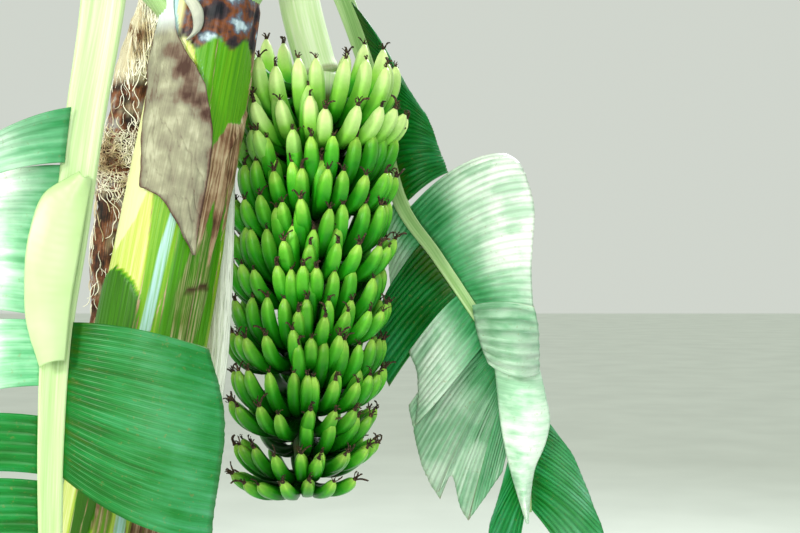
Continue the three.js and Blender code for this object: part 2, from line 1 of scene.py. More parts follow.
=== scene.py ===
# A fruiting banana plant: leaning stem of wrapped sheaths, fruit stalk, bunch of green fruit,
# two broken old leaves, dry remains and a crown of torn leaves.
# Lengths are worked out in millimetres, as in the part's source, and turned to metres in each mesh.
import math
from functools import partial

import bpy
import numpy as np
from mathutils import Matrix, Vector


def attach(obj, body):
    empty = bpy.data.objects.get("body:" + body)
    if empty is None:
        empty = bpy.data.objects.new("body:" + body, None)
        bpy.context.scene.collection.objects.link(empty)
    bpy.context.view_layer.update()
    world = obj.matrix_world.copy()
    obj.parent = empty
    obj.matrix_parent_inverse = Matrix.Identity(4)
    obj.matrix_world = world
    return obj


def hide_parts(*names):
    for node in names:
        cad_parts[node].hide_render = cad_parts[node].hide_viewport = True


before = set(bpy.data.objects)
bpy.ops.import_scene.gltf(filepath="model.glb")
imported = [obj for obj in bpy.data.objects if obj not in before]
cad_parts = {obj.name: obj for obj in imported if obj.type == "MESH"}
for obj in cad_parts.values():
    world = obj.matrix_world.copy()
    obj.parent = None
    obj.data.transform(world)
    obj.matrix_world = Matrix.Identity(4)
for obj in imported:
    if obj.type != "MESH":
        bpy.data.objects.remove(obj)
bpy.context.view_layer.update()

MM = 0.001
UP = np.array([0.0, 0.0, 1.0])


# Numbers, lines and shapes

class Chance:
    """A seeded row of numbers, by the rule that the part's source uses."""

    def __init__(self, seed):
        self.state = seed

    def draw(self):
        self.state = (self.state * 1664525 + 1013904223) & 0xFFFFFFFF
        return self.state / 4294967296

    def jitter(self, amount):
        return (2 * self.draw() - 1) * amount

    def between(self, low, high):
        return low + (high - low) * self.draw()

    def seed(self):
        return int(self.draw() * 1000)


def lerp(a, b, t):
    return a + (b - a) * t


def smoothstep(low, high, value):
    t = np.clip((np.asarray(value, float) - low) / (high - low), 0, 1)
    return t * t * (3 - 2 * t)


def unit(vectors):
    length = np.linalg.norm(vectors, axis=-1, keepdims=True)
    return vectors / np.maximum(length, 1e-9)


def square_to(direction, tangent):
    dot = np.sum(direction * tangent, axis=-1, keepdims=True)
    return unit(direction - dot * tangent)


def ripple(x, y, seed):
    """Smooth unevenness from -1 to 1, the sum of a few slanting waves; x and y are in waves."""
    chance = Chance(seed)
    total = np.zeros(np.broadcast(x, y).shape)
    for octave in (1, 1.9, 3.3):
        for _ in range(3):
            turn = chance.between(0, 2 * math.pi)
            phase = chance.between(0, 2 * math.pi)
            wave = (x * math.cos(turn) + y * math.sin(turn)) * octave * 2 * math.pi
            total += np.sin(wave + phase) / octave / 5
    return total


class Line:
    """A smooth line through points, read off by its share of the length."""
    STEPS = 60

    def __init__(self, points):
        given = np.array(points, float)
        keys = np.vstack([2 * given[0] - given[1], given, 2 * given[-1] - given[-2]])
        t = np.linspace(0, 1, self.STEPS, endpoint=False)[:, None]
        rows = []
        for p0, p1, p2, p3 in zip(keys, keys[1:], keys[2:], keys[3:]):
            d0, d1, d2 = (np.linalg.norm(b - a) ** 0.5 for a, b in ((p0, p1), (p1, p2), (p2, p3)))
            leave = ((p1 - p0) / d0 - (p2 - p0) / (d0 + d1) + (p2 - p1) / d1) * d1
            arrive = ((p2 - p1) / d1 - (p3 - p1) / (d1 + d2) + (p3 - p2) / d2) * d1
            rows.append((2 * t**3 - 3 * t**2 + 1) * p1 + (t**3 - 2 * t**2 + t) * leave
                        + (3 * t**2 - 2 * t**3) * p2 + (t**3 - t**2) * arrive)
        self.points = np.vstack(rows + [given[-1:]])
        steps = np.linalg.norm(np.diff(self.points, axis=0), axis=1)
        self.length = steps.sum()
        self.shares = np.concatenate([[0], np.cumsum(steps)]) / self.length

    def at(self, share):
        return np.stack([np.interp(share, self.shares, self.points[:, i]) for i in range(3)], axis=-1)

    def tangent(self, share):
        share = np.asarray(share, float)
        ahead = np.minimum(share + 0.004, 1)
        behind = np.maximum(share - 0.004, 0)
        return unit(self.at(ahead) - self.at(behind))

    def nearest(self, point):
        return float(self.shares[np.argmin(np.linalg.norm(self.points - np.array(point), axis=1))])


def read(table, at):
    """A table's other columns, at values of its first column."""
    return [np.interp(at, table[:, 0], column) for column in table[:, 1:].T]


def circle(sides):
    return np.linspace(0, 2 * math.pi, sides, endpoint=False)


def crossed(grid):
    """The direction square to a grid of points at each of them, as long as its squares are large."""
    return np.cross(np.gradient(grid, axis=0), np.gradient(grid, axis=1))


def corners(*ids):
    """Faces of four point numbers; a face whose last two are the same has three corners."""
    return np.stack(ids, axis=-1).reshape(-1, 4)


class Piece:
    """Points, faces and marks gathered for one finished mesh, in millimetres."""

    def __init__(self):
        self.points = []
        self.faces = []
        self.looks = []
        self.marks = []
        self.count = 0

    def add(self, points, faces, look, marks):
        self.points.append(points)
        self.faces.append(faces + self.count)
        self.looks.append(np.full(len(faces), look))
        self.marks.append(marks)
        self.count += len(points)

    def tube(self, rings, look=0, **marks):
        """A closed skin over rings of points, with its ends closed to a middle point."""
        n, k = rings.shape[:2]
        ids = np.arange(n * k).reshape(n, k)
        ahead = np.roll(ids, -1, axis=1)
        sides = corners(ids[:-1], ahead[:-1], ahead[1:], ids[1:])
        first = corners(np.full(k, n * k), ahead[0], ids[0], ids[0])
        last = corners(np.full(k, n * k + 1), ids[-1], ahead[-1], ahead[-1])
        points = np.vstack([rings.reshape(-1, 3), rings[0].mean(0), rings[-1].mean(0)])
        full = {}
        for name, value in marks.items():
            rows = np.broadcast_to(value, (n, k))
            full[name] = np.concatenate([rows.ravel(), [rows[0].mean(), rows[-1].mean()]])
        self.add(points, np.vstack([sides, first, last]), look, full)

    def sheet(self, grid, thickness, look=0, **marks):
        """A thin closed blade over a grid; its upper side is the one that rows x columns points from."""
        n, k = grid.shape[:2]
        half = unit(crossed(grid)) * (thickness / 2)
        ids = np.arange(n * k).reshape(n, k)
        top = corners(ids[:-1, :-1], ids[1:, :-1], ids[1:, 1:], ids[:-1, 1:])
        rim = np.concatenate([ids[0, :-1], ids[:-1, -1], ids[-1, :0:-1], ids[:0:-1, 0]])
        ahead = np.roll(rim, -1)
        wall = corners(rim, ahead, ahead + n * k, rim + n * k)
        points = np.vstack([(grid + half).reshape(-1, 3), (grid - half).reshape(-1, 3)])
        full = {name: np.tile(np.broadcast_to(value, (n, k)).ravel(), 2) for name, value in marks.items()}
        full["under"] = np.repeat([0.0, 1.0], n * k)
        self.add(points, np.vstack([top, top[:, ::-1] + n * k, wall]), look, full)

    def make(self, name, materials, nodes):
        """Turns all that was gathered into one mesh, in metres, and puts it in the scene."""
        faces = np.vstack(self.faces)
        sizes = np.where(faces[:, 2] != faces[:, 3], 4, 3)
        mesh = bpy.data.meshes.new(name)
        mesh.vertices.add(self.count)
        mesh.vertices.foreach_set("co", np.vstack(self.points).ravel() * MM)
        mesh.loops.add(int(sizes.sum()))
        mesh.loops.foreach_set("vertex_index", faces[np.arange(4) < sizes[:, None]])
        mesh.polygons.add(len(faces))
        mesh.polygons.foreach_set("loop_start", np.cumsum(sizes) - sizes)
        mesh.polygons.foreach_set("material_index", np.concatenate(self.looks))
        mesh.polygons.foreach_set("use_smooth", np.ones(len(faces), bool))
        for mark in sorted(set().union(*self.marks)):
            parts = zip(self.marks, self.points)
            values = [marks.get(mark, np.zeros(len(points))) for marks, points in parts]
            give_mark(mesh, mark, np.concatenate(values))
        for material in materials:
            mesh.materials.append(material)
        mesh.update(calc_edges=True)
        mesh.validate()
        keep(mesh, name, nodes)


def placed(name, data):
    """A new object of the scene, at the origin."""
    thing = bpy.data.objects.new(name, data)
    bpy.context.scene.collection.objects.link(thing)
    return thing


def give_mark(mesh, mark, values):
    mesh.attributes.new(mark, "FLOAT", "POINT").data.foreach_set("value", values.ravel().astype(np.float32))


def keep(mesh, name, nodes=()):
    """Puts a finished mesh in the scene, on the plant's one body."""
    piece = placed(name, mesh)
    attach(piece, "root")
    if nodes:
        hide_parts(*nodes)


# Materials

MATH = "ShaderNodeMath"
MIX = "ShaderNodeMix"
MIXED_COLOUR = {"out": 2, "data_type": "RGBA"}      # a mix node takes its two colours at inputs 6 and 7
NOISE = "ShaderNodeTexNoise"
RAMP = "ShaderNodeValToRGB"
RANGE = "ShaderNodeMapRange"
VALUE = "ShaderNodeHueSaturation"
BUMP = "ShaderNodeBump"
PLACE = "ShaderNodeTexCoord"
PRINCIPLED = "ShaderNodeBsdfPrincipled"


def colour(code):
    """An sRGB hex colour as linear red, green, blue and alpha."""
    parts = [int(code[i:i + 2], 16) / 255 for i in (1, 3, 5)]
    return [c / 12.92 if c <= 0.04045 else ((c + 0.055) / 1.055) ** 2.4 for c in parts] + [1]


def add_node(tree, kind, inputs=(), out=0, stops=(), **settings):
    """Adds a node with its settings and gives one of its outputs. Inputs, by name or in order, are
    linked or set; stops fill a colour ramp."""
    node = tree.nodes.new(kind)
    for name, value in settings.items():
        setattr(node, name, value)
    for key, value in inputs.items() if isinstance(inputs, dict) else enumerate(inputs):
        if isinstance(value, bpy.types.NodeSocket):
            tree.links.new(value, node.inputs[key])
        else:
            node.inputs[key].default_value = value
    if stops:
        elements = node.color_ramp.elements
        while len(elements) < len(stops):
            elements.new(0.5)
        for element, (place, code) in zip(elements, stops):
            element.position = place
            element.color = colour(code)
    return node.outputs[out] if node.outputs else None


def new_material(name, surface, *marks):
    """A material whose surface a function builds, from the mesh's own marks."""
    material = bpy.data.materials.new(name)
    material.use_nodes = True
    material.node_tree.nodes.clear()
    add = partial(add_node, material.node_tree)
    given = [add("ShaderNodeAttribute", out="Fac", attribute_name=mark) for mark in marks]
    add("ShaderNodeOutputMaterial", {"Surface": surface(add, *given)})
    return material


def weighed(add, start, *terms):
    """A start value and some outputs, each times its weight, added up."""
    for output, weight in terms:
        start = add(MATH, [output, weight, start], operation="MULTIPLY_ADD")
    return start


def grain(add, marks, scales, **noise):
    """Noise that is stretched along the mesh's own marks, by a scale for each."""
    where = [add(MATH, [mark, scale], operation="MULTIPLY") for mark, scale in zip(marks, scales)]
    return add(NOISE, {"Vector": add("ShaderNodeCombineXYZ", where), "Scale": 1.0, **noise})


def fruit_skin(add, along, ridge, tone, sun):
    """Living green banana peel with a wax coat: a soft broad sheen, painted sunlight yellow-green on the
    upper hands, painted shade toward each finger's base and painted highlights toward its tip and along its
    ridges.
    """
    place = add(PLACE, out="Object")
    # blotches of about 40 mm and flecks of about 6 mm
    blotch = add(NOISE, {"Vector": place, "Scale": 25.0, "Detail": 3.0})
    fleck = add(NOISE, {"Vector": place, "Scale": 170.0, "Detail": 2.0})
    uneven = weighed(add, -0.11, (blotch, 0.22))
    shifted = add(MATH, [along, uneven], operation="ADD")
    # painted shade and highlight: each finger is darkest at its base, where the fingers shade each other, and
    # palest toward its tip
    shaded = add(RAMP, [shifted], stops=[
        (0.0, "#062e02"), (0.35, "#054601"), (0.55, "#056402"), (0.72, "#128a08"), (0.87, "#52ac20"),
        (1.0, "#a2d052"),
    ])
    # painted sunlight: a lit copy of the ramp, mixed in as far as sun says
    sunned = add(RAMP, [shifted], stops=[
        (0.0, "#165206"), (0.3, "#167806"), (0.48, "#3aa418"), (0.68, "#9ad652"), (0.9, "#e8f6b0"),
    ])
    body = add(MIX, {0: sun, 6: shaded, 7: sunned}, **MIXED_COLOUR)
    # painted highlight along the ridges, and painted shade between them
    light = weighed(add, 0.98, (ridge, 0.14), (tone, 0.3), (fleck, -0.16))
    skin = add(VALUE, {"Value": light, "Color": body})
    bump = add(BUMP, {"Height": fleck, "Strength": 0.12, "Distance": 0.001})
    return add(PRINCIPLED, {
        "Base Color": skin, "Roughness": 0.34, "IOR": 1.4, "Specular IOR Level": 0.28, "Normal": bump,
    })


def dried_flower(add):
    """Dried flower parts, shrivelled: dull near-black brown with paler papery ends."""
    mottle = add(NOISE, {"Vector": add(PLACE, out="Object"), "Scale": 260.0, "Detail": 2.0})
    body = add(RAMP, [mottle], stops=[(0.3, "#1d120b"), (0.55, "#3a2415"), (0.72, "#7d6242")])
    bump = add(BUMP, {"Height": mottle, "Strength": 0.5, "Distance": 0.001})
    return add(PRINCIPLED, {"Base Color": body, "Roughness": 0.85, "Normal": bump})


def stalk_skin(add, along, around, scar, shade):
    """Green fruit stalk, smooth and faintly downy: pale green with long soft streaks and brown ring scars,
    and painted shade on the axis among the hands.
    """
    # streaks 5 mm wide and about 150 mm long
    streak = grain(add, [around, along], [0.2, 1 / 150], Detail=4.0)
    above = add(RAMP, [streak], stops=[(0.25, "#c6e89c"), (0.5, "#e0f4c4"), (0.75, "#f8fde8")])
    # painted shade: dark green on the axis among the hands, as much as shade says
    body = add(MIX, {0: shade, 6: above, 7: colour("#275c14")}, **MIXED_COLOUR)
    scarred = add(MIX, {0: scar, 6: body, 7: colour("#6b4a26")}, **MIXED_COLOUR)
    bump = add(BUMP, {"Height": streak, "Strength": 0.25, "Distance": 0.002})
    return add(PRINCIPLED, {
        "Base Color": scarred, "Roughness": 0.5, "IOR": 1.45, "Normal": bump, "Subsurface Weight": 0.08,
        "Subsurface Radius": (0.006, 0.008, 0.003), "Subsurface Scale": 0.5,
    })


def leaf_blade(add, along, across, under, tone, dry, bloom, folded):
    """Living leaf blade, waxed above and paler, bluish below: fine veins, painted shade in the pleats'
    creases, pale patches of painted highlight, and light glowing through it.
    """
    place = add(PLACE, out="Object")
    # painted shade in the crease of each pleat, every 16 mm, as deep as folded says, and a finer vein every 5
    # mm between them
    turn = add(MATH, [along, 2 * math.pi / 16], operation="MULTIPLY")
    low = weighed(add, 0.5, (add(MATH, [turn], operation="SINE"), -0.5))
    painted_crease_shade = add(MATH, [add(MATH, [low, 4.0], operation="POWER"), folded], operation="MULTIPLY")
    fine = add(MATH, [add(MATH, [turn, 3.0], operation="MULTIPLY")], operation="SINE")
    # streaks that run out with the veins, 8 mm wide and about 150 mm long
    streak = grain(add, [along, across, tone], [0.07, 1.7, 9.0], Detail=5.0)
    # clouds of about 90 mm, and specks of wear of about 6 mm
    cloud = add(NOISE, {"Vector": place, "Scale": 11.0, "Detail": 4.0})
    speck = add(NOISE, {"Vector": place, "Scale": 150.0, "Detail": 3.0})
    # tone lifts the colour here and the value below; on the crown leaves it is chance, on the broken and
    # hanging leaves it is painted light and shade, strip by strip
    lifted = weighed(add, -0.22, (across, 0.34), (streak, 0.7), (cloud, 0.55), (tone, 0.22))
    above = add(RAMP, [lifted], stops=[
        (0.34, "#2c5c02"), (0.44, "#005e10"), (0.6, "#027a2a"), (0.8, "#269252"), (1.0, "#54aa80"),
    ])
    below = add(RAMP, [lifted], stops=[
        (0.25, "#17703a"), (0.45, "#3a945a"), (0.62, "#62b07e"), (0.8, "#92cba4"), (1.0, "#c2e6cc"),
    ])
    sided = add(MIX, {0: under, 6: above, 7: below}, **MIXED_COLOUR)
    # painted highlight: near-white patches, as strong as whitening says
    highlight_patches = add(RANGE, [weighed(add, cloud, (streak, 0.5)), 0.62, 0.84, 0.42, 1.15])
    bloomed = add(MATH, [highlight_patches, bloom], operation="MULTIPLY", use_clamp=True)
    pale = add(MIX, {0: bloomed, 6: sided, 7: colour("#f4fdf6")}, **MIXED_COLOUR)
    # the painted crease shade, uneven along the streaks, darkens the value
    uneven = add(MATH, [painted_crease_shade, streak], operation="MULTIPLY")
    toned = weighed(add, 0.88, (uneven, -0.62), (fine, 0.03), (tone, 0.34))
    shaded = add(VALUE, {"Value": toned, "Color": pale})
    # brown specks of wear, and dry margins that run in along the streaks
    worn = add(MATH, [add(RANGE, [speck, 0.62, 0.74]), cloud], operation="MULTIPLY")
    edge = add(MATH, [dry, weighed(add, -0.6, (streak, 1.2))], operation="ADD")
    edged = add(MATH, [edge, dry], operation="MULTIPLY")
    brown = add(MATH, [worn, 0.7, edged], operation="MULTIPLY_ADD", use_clamp=True)
    skin = add(MIX, {0: brown, 6: shaded, 7: colour("#8a7440")}, **MIXED_COLOUR)
    bump = add(BUMP, {"Height": weighed(add, streak, (fine, 0.3)), "Strength": 0.25, "Distance": 0.001})
    shader = add(PRINCIPLED, {
        "Base Color": skin, "Roughness": 0.4, "IOR": 1.45, "Specular IOR Level": 0.35, "Normal": bump,
    })
    glow = add("ShaderNodeBsdfTranslucent", {"Color": colour("#55b82e"), "Normal": bump})
    return add("ShaderNodeMixShader", [0.18, shader, glow])


def leaf_midrib(add, along, around, groove, tone):
    """Leaf stalk and midrib, smooth, with a coat of wax: pale yellow-green with long fine lines."""
    # lines 3 mm wide and about 200 mm long
    streak = grain(add, [around, along], [0.3, 1 / 200], Detail=4.0)
    body = add(RAMP, [streak], stops=[(0.25, "#a6c283"), (0.5, "#b8d09a"), (0.78, "#ccdeb4")])
    deep = add(RAMP, [streak], stops=[(0.25, "#4c8a30"), (0.5, "#6da24c"), (0.78, "#93be72")])
    greener = add(MATH, [groove, tone], operation="MAXIMUM")
    skin = add(MIX, {0: greener, 6: body, 7: deep}, **MIXED_COLOUR)
    bump = add(BUMP, {"Height": streak, "Strength": 0.2, "Distance": 0.001})
    return add(PRINCIPLED, {
        "Base Color": skin, "Roughness": 0.4, "IOR": 1.45, "Normal": bump, "Subsurface Weight": 0.1,
        "Subsurface Radius": (0.006, 0.008, 0.003), "Subsurface Scale": 0.5,
    })


def stem_sheath(add, along, around, tone, dry, wax, rust, crack):
    """Wrapped leaf sheaths, wax-coated where fresh and papery where dry: green, yellow, wax and brown by age,
    with painted light in the tone of some layers and painted highlights in the rot.
    """
    place = add(PLACE, out="Object")
    # fibres 4 mm wide and 180 mm long; blotches of about 60 mm, and of about 45 mm where it rots
    fibre = grain(add, [around, along], [0.25, 1 / 180], Detail=5.0)
    blotch = add(NOISE, {"Vector": place, "Scale": 16.0, "Detail": 5.0})
    rot = add(NOISE, {"Vector": place, "Scale": 22.0, "Detail": 5.0})
    # some front layers' tone paints light: yellow on the stem's lit left side, a pale cream highlight along
    # it, and greener past the light's edge
    sheath_tone = add(MATH, [tone, weighed(add, -0.25, (fibre, 0.5))], operation="ADD")
    fresh = add(RAMP, [sheath_tone], stops=[
        (0.0, "#2a5e00"), (0.22, "#458c00"), (0.4, "#649c0a"), (0.6, "#93b028"), (0.8, "#bccb60"),
        (1.0, "#dde0a6"),
    ])
    both = add(MATH, [blotch, fibre], operation="ADD")
    dead = add(RAMP, [add(MATH, [both, 0.5], operation="MULTIPLY")], stops=[
        (0.36, "#4a2f20"), (0.45, "#7b5a42"), (0.53, "#a88f72"), (0.66, "#cfc2a4"),
    ])
    # painted highlights: the pale blue-white stops at the top of the rot's ramp
    rot_and_highlights = add(RAMP, [rot], stops=[
        (0.34, "#10131c"), (0.44, "#35282e"), (0.51, "#74401f"), (0.56, "#5d4a50"), (0.6, "#5e6e80"),
        (0.66, "#b4c8d4"),
    ])
    dry_at = add(MATH, [dry, weighed(add, -0.4, (fibre, 0.8))], operation="ADD")
    dry_mask = add(RANGE, [dry_at, 0.35, 0.6])
    body = add(MIX, {0: dry_mask, 6: fresh, 7: dead}, **MIXED_COLOUR)
    wax_mask = add(RANGE, [add(MATH, [fibre, wax], operation="MULTIPLY"), 0.15, 0.5])
    waxed = add(MIX, {0: wax_mask, 6: body, 7: colour("#a8cdd0")}, **MIXED_COLOUR)
    cracked = add(MIX, {0: crack, 6: waxed, 7: colour("#3b2412")}, **MIXED_COLOUR)
    skin = add(MIX, {0: rust, 6: cracked, 7: rot_and_highlights}, **MIXED_COLOUR)
    rough = add(RANGE, {0: dry_mask, 3: 0.42, 4: 0.85})
    bump = add(BUMP, {"Height": fibre, "Strength": 0.4, "Distance": 0.002})
    return add(PRINCIPLED, {
        "Base Color": skin, "Roughness": rough, "IOR": 1.45, "Specular IOR Level": 0.3, "Normal": bump,
    })


def sheath_paper(add, along, around, stain, bloom):
    """Dead sheath, dried to paper: matt beige with brown stains, painted shade along its folds, fine
    lengthwise fibres and a bluish white top.
    """
    # fibres 3 mm wide and 100 mm long; stains of about 40 mm
    fibre = grain(add, [around, along], [0.33, 1 / 100], Detail=5.0)
    blotch = add(NOISE, {"Vector": add(PLACE, out="Object"), "Scale": 24.0, "Detail": 6.0})
    mixed = weighed(add, blotch, (fibre, 0.35))
    # the stains and the painted shade of the folds both darken the paper
    paper = add(RAMP, [weighed(add, mixed, (stain, -0.5))], stops=[
        (0.18, "#3f251c"), (0.36, "#675346"), (0.52, "#7f7a68"), (0.68, "#918f78"), (0.85, "#b0ae96"),
    ])
    body = add(MIX, {0: bloom, 6: paper, 7: colour("#dde7ec")}, **MIXED_COLOUR)
    bump = add(BUMP, {"Height": mixed, "Strength": 0.5, "Distance": 0.002})
    return add(PRINCIPLED, {"Base Color": body, "Roughness": 0.85, "Normal": bump})


def dry_stalk_straw(add, along, around):
    """A dead leaf's stalk, dried and bleached: grey-white with dark lengthwise cracks."""
    # cracks 2.5 mm wide and 60 mm long
    crack = grain(add, [around, along], [0.4, 1 / 60], Detail=6.0, Roughness=0.65)
    body = add(RAMP, [crack], stops=[
        (0.3, "#858a80"), (0.42, "#cfd4ca"), (0.52, "#eff2ec"), (0.75, "#fdfefb"),
    ])
    bump = add(BUMP, {"Height": crack, "Strength": 0.6, "Distance": 0.002})
    return add(PRINCIPLED, {"Base Color": body, "Roughness": 0.8, "Normal": bump})


def dead_fibre(add, along, around, straw):
    """Rotted sheath fibre, matted: reddish brown to near black, with straw where it has dried."""
    # fibres 2.5 mm wide and 70 mm long; blotches of about 30 mm
    fibre = grain(add, [around, along], [0.4, 1 / 70], Detail=6.0)
    blotch = add(NOISE, {"Vector": add(PLACE, out="Object"), "Scale": 30.0, "Detail": 5.0})
    mixed = weighed(add, blotch, (fibre, 0.5))
    dark = add(RAMP, [mixed], stops=[
        (0.56, "#15100f"), (0.7, "#4a2a1c"), (0.8, "#7d4a2c"), (0.92, "#8f8a88"),
    ])
    pale = add(RAMP, [fibre], stops=[(0.3, "#86704e"), (0.5, "#d6ccac"), (0.7, "#f6f2e0")])
    body = add(MIX, {0: straw, 6: dark, 7: pale}, **MIXED_COLOUR)
    bump = add(BUMP, {"Height": mixed, "Strength": 0.6, "Distance": 0.003})
    return add(PRINCIPLED, {"Base Color": body, "Roughness": 0.9, "Normal": bump})


def dry_straw(add):
    """Loose sheath fibre, sun-dried: pale straw, browner here and there."""
    blotch = add(NOISE, {"Vector": add(PLACE, out="Object"), "Scale": 14.0, "Detail": 3.0})
    body = add(RAMP, [blotch], stops=[
        (0.3, "#7a5a3c"), (0.4, "#d2c09a"), (0.48, "#f2ecd8"), (0.7, "#fdfbf0"),
    ])
    return add(PRINCIPLED, {"Base Color": body, "Roughness": 0.85})


def floor_paper(add):
    """Plain pale paper, matt, with a faint cloudiness."""
    cloud = add(NOISE, {"Vector": add(PLACE, out="Object"), "Scale": 1.5})
    tint = add(RAMP, [cloud], stops=[(0.3, "#e0e6dd"), (0.7, "#e8eee5")])
    return add(PRINCIPLED, {"Base Color": tint, "Roughness": 0.9})


FRUIT_SKIN = new_material("green_banana_peel_waxy", fruit_skin, "along", "ridge", "tone", "sun")
DRIED_FLOWER = new_material("dried_flower_shrivelled", dried_flower)
STALK_SKIN = new_material("fruit_stalk_downy", stalk_skin, "along", "across", "scar", "shade")
LEAF_BLADE = new_material("banana_leaf_waxed", leaf_blade,
                          "along", "across", "under", "tone", "dry", "bloom", "folded")
LEAF_MIDRIB = new_material("leaf_midrib_waxy", leaf_midrib, "along", "across", "groove", "tone")
STEM_SHEATH = new_material("leaf_sheath_layered", stem_sheath,
                           "along", "across", "tone", "dry", "wax", "rust", "crack")
SHEATH_PAPER = new_material("dead_sheath_papery", sheath_paper, "along", "across", "stain", "bloom")
DRY_STALK_STRAW = new_material("dead_stalk_bleached", dry_stalk_straw, "along", "across")
DEAD_FIBRE = new_material("rotted_sheath_fibre", dead_fibre, "along", "across", "straw")
DRY_STRAW = new_material("sheath_straw_dried", dry_straw)
FLOOR_PAPER = new_material("pale_floor_paper", floor_paper)


# Loose parts that are scattered over a mesh by Geometry Nodes

CURVE = "GeometryNodeCurvePrimitiveBezierSegment"
CIRCLE = "GeometryNodeCurvePrimitiveCircle"
TO_MESH = "GeometryNodeCurveToMesh"
ON_POINTS = "GeometryNodeInstanceOnPoints"
REALIZE = "GeometryNodeRealizeInstances"
NAMED = "GeometryNodeInputNamedAttribute"
RANDOM = "FunctionNodeRandomValue"
ALIGN = "FunctionNodeAlignEulerToVector"
ROTATE = "FunctionNodeRotateEuler"
AROUND_ITS_AXIS = {"rotation_type": "AXIS_ANGLE", "space": "LOCAL"}


def scatter(name, mesh, sizes, build, material):
    """Runs a tree of nodes with named sizes over a mesh, and keeps the loose parts that it makes."""
    holder = placed(name, mesh)
    tree = bpy.data.node_groups.new(name, "GeometryNodeTree")
    new_socket = tree.interface.new_socket
    new_socket("Geometry", in_out="INPUT", socket_type="NodeSocketGeometry")
    sockets = {size: new_socket(size, in_out="INPUT", socket_type="NodeSocketFloat") for size in sizes}
    new_socket("Geometry", in_out="OUTPUT", socket_type="NodeSocketGeometry")
    add = partial(add_node, tree)
    real = build(add, add("NodeGroupInput").node.outputs)
    add("NodeGroupOutput", [add("GeometryNodeSetMaterial", {"Geometry": real, "Material": material})])
    modifier = holder.modifiers.new(name, "NODES")
    modifier.node_group = tree
    for size, socket in sockets.items():
        modifier[socket.identifier] = sizes[size]
    graph = bpy.context.evaluated_depsgraph_get()
    made = bpy.data.meshes.new_from_object(holder.evaluated_get(graph))
    made.name = name
    holder.modifiers.clear()
    bpy.data.objects.remove(holder)
    keep(made, name)


# The stem: sheath over sheath, each with a raised margin

STEM_HEIGHT = 2250
STEM_LEAN = np.array([0.183, 0.02])
STEM_PROFILE = np.array([               # height, radius
    [0, 168], [45, 152], [130, 135], [400, 123], [900, 119], [1430, 113], [1900, 102], [2150, 88],
    [STEM_HEIGHT, 76],
])


def stem_axis(z):
    z = np.asarray(z, float)
    return np.stack([STEM_LEAN[0] * z, STEM_LEAN[1] * z, z], axis=-1)


def stem_radius(z):
    return read(STEM_PROFILE, z)[0]


def on_stem(z, azimuth, lift):
    """Points on the stem's skin at a height and an angle, lifted off it."""
    turn = np.radians(azimuth)
    reach = stem_radius(z) + lift
    flat = np.stack([reach * np.cos(turn), reach * np.sin(turn), np.zeros_like(reach)], axis=-1)
    return stem_axis(z) + flat


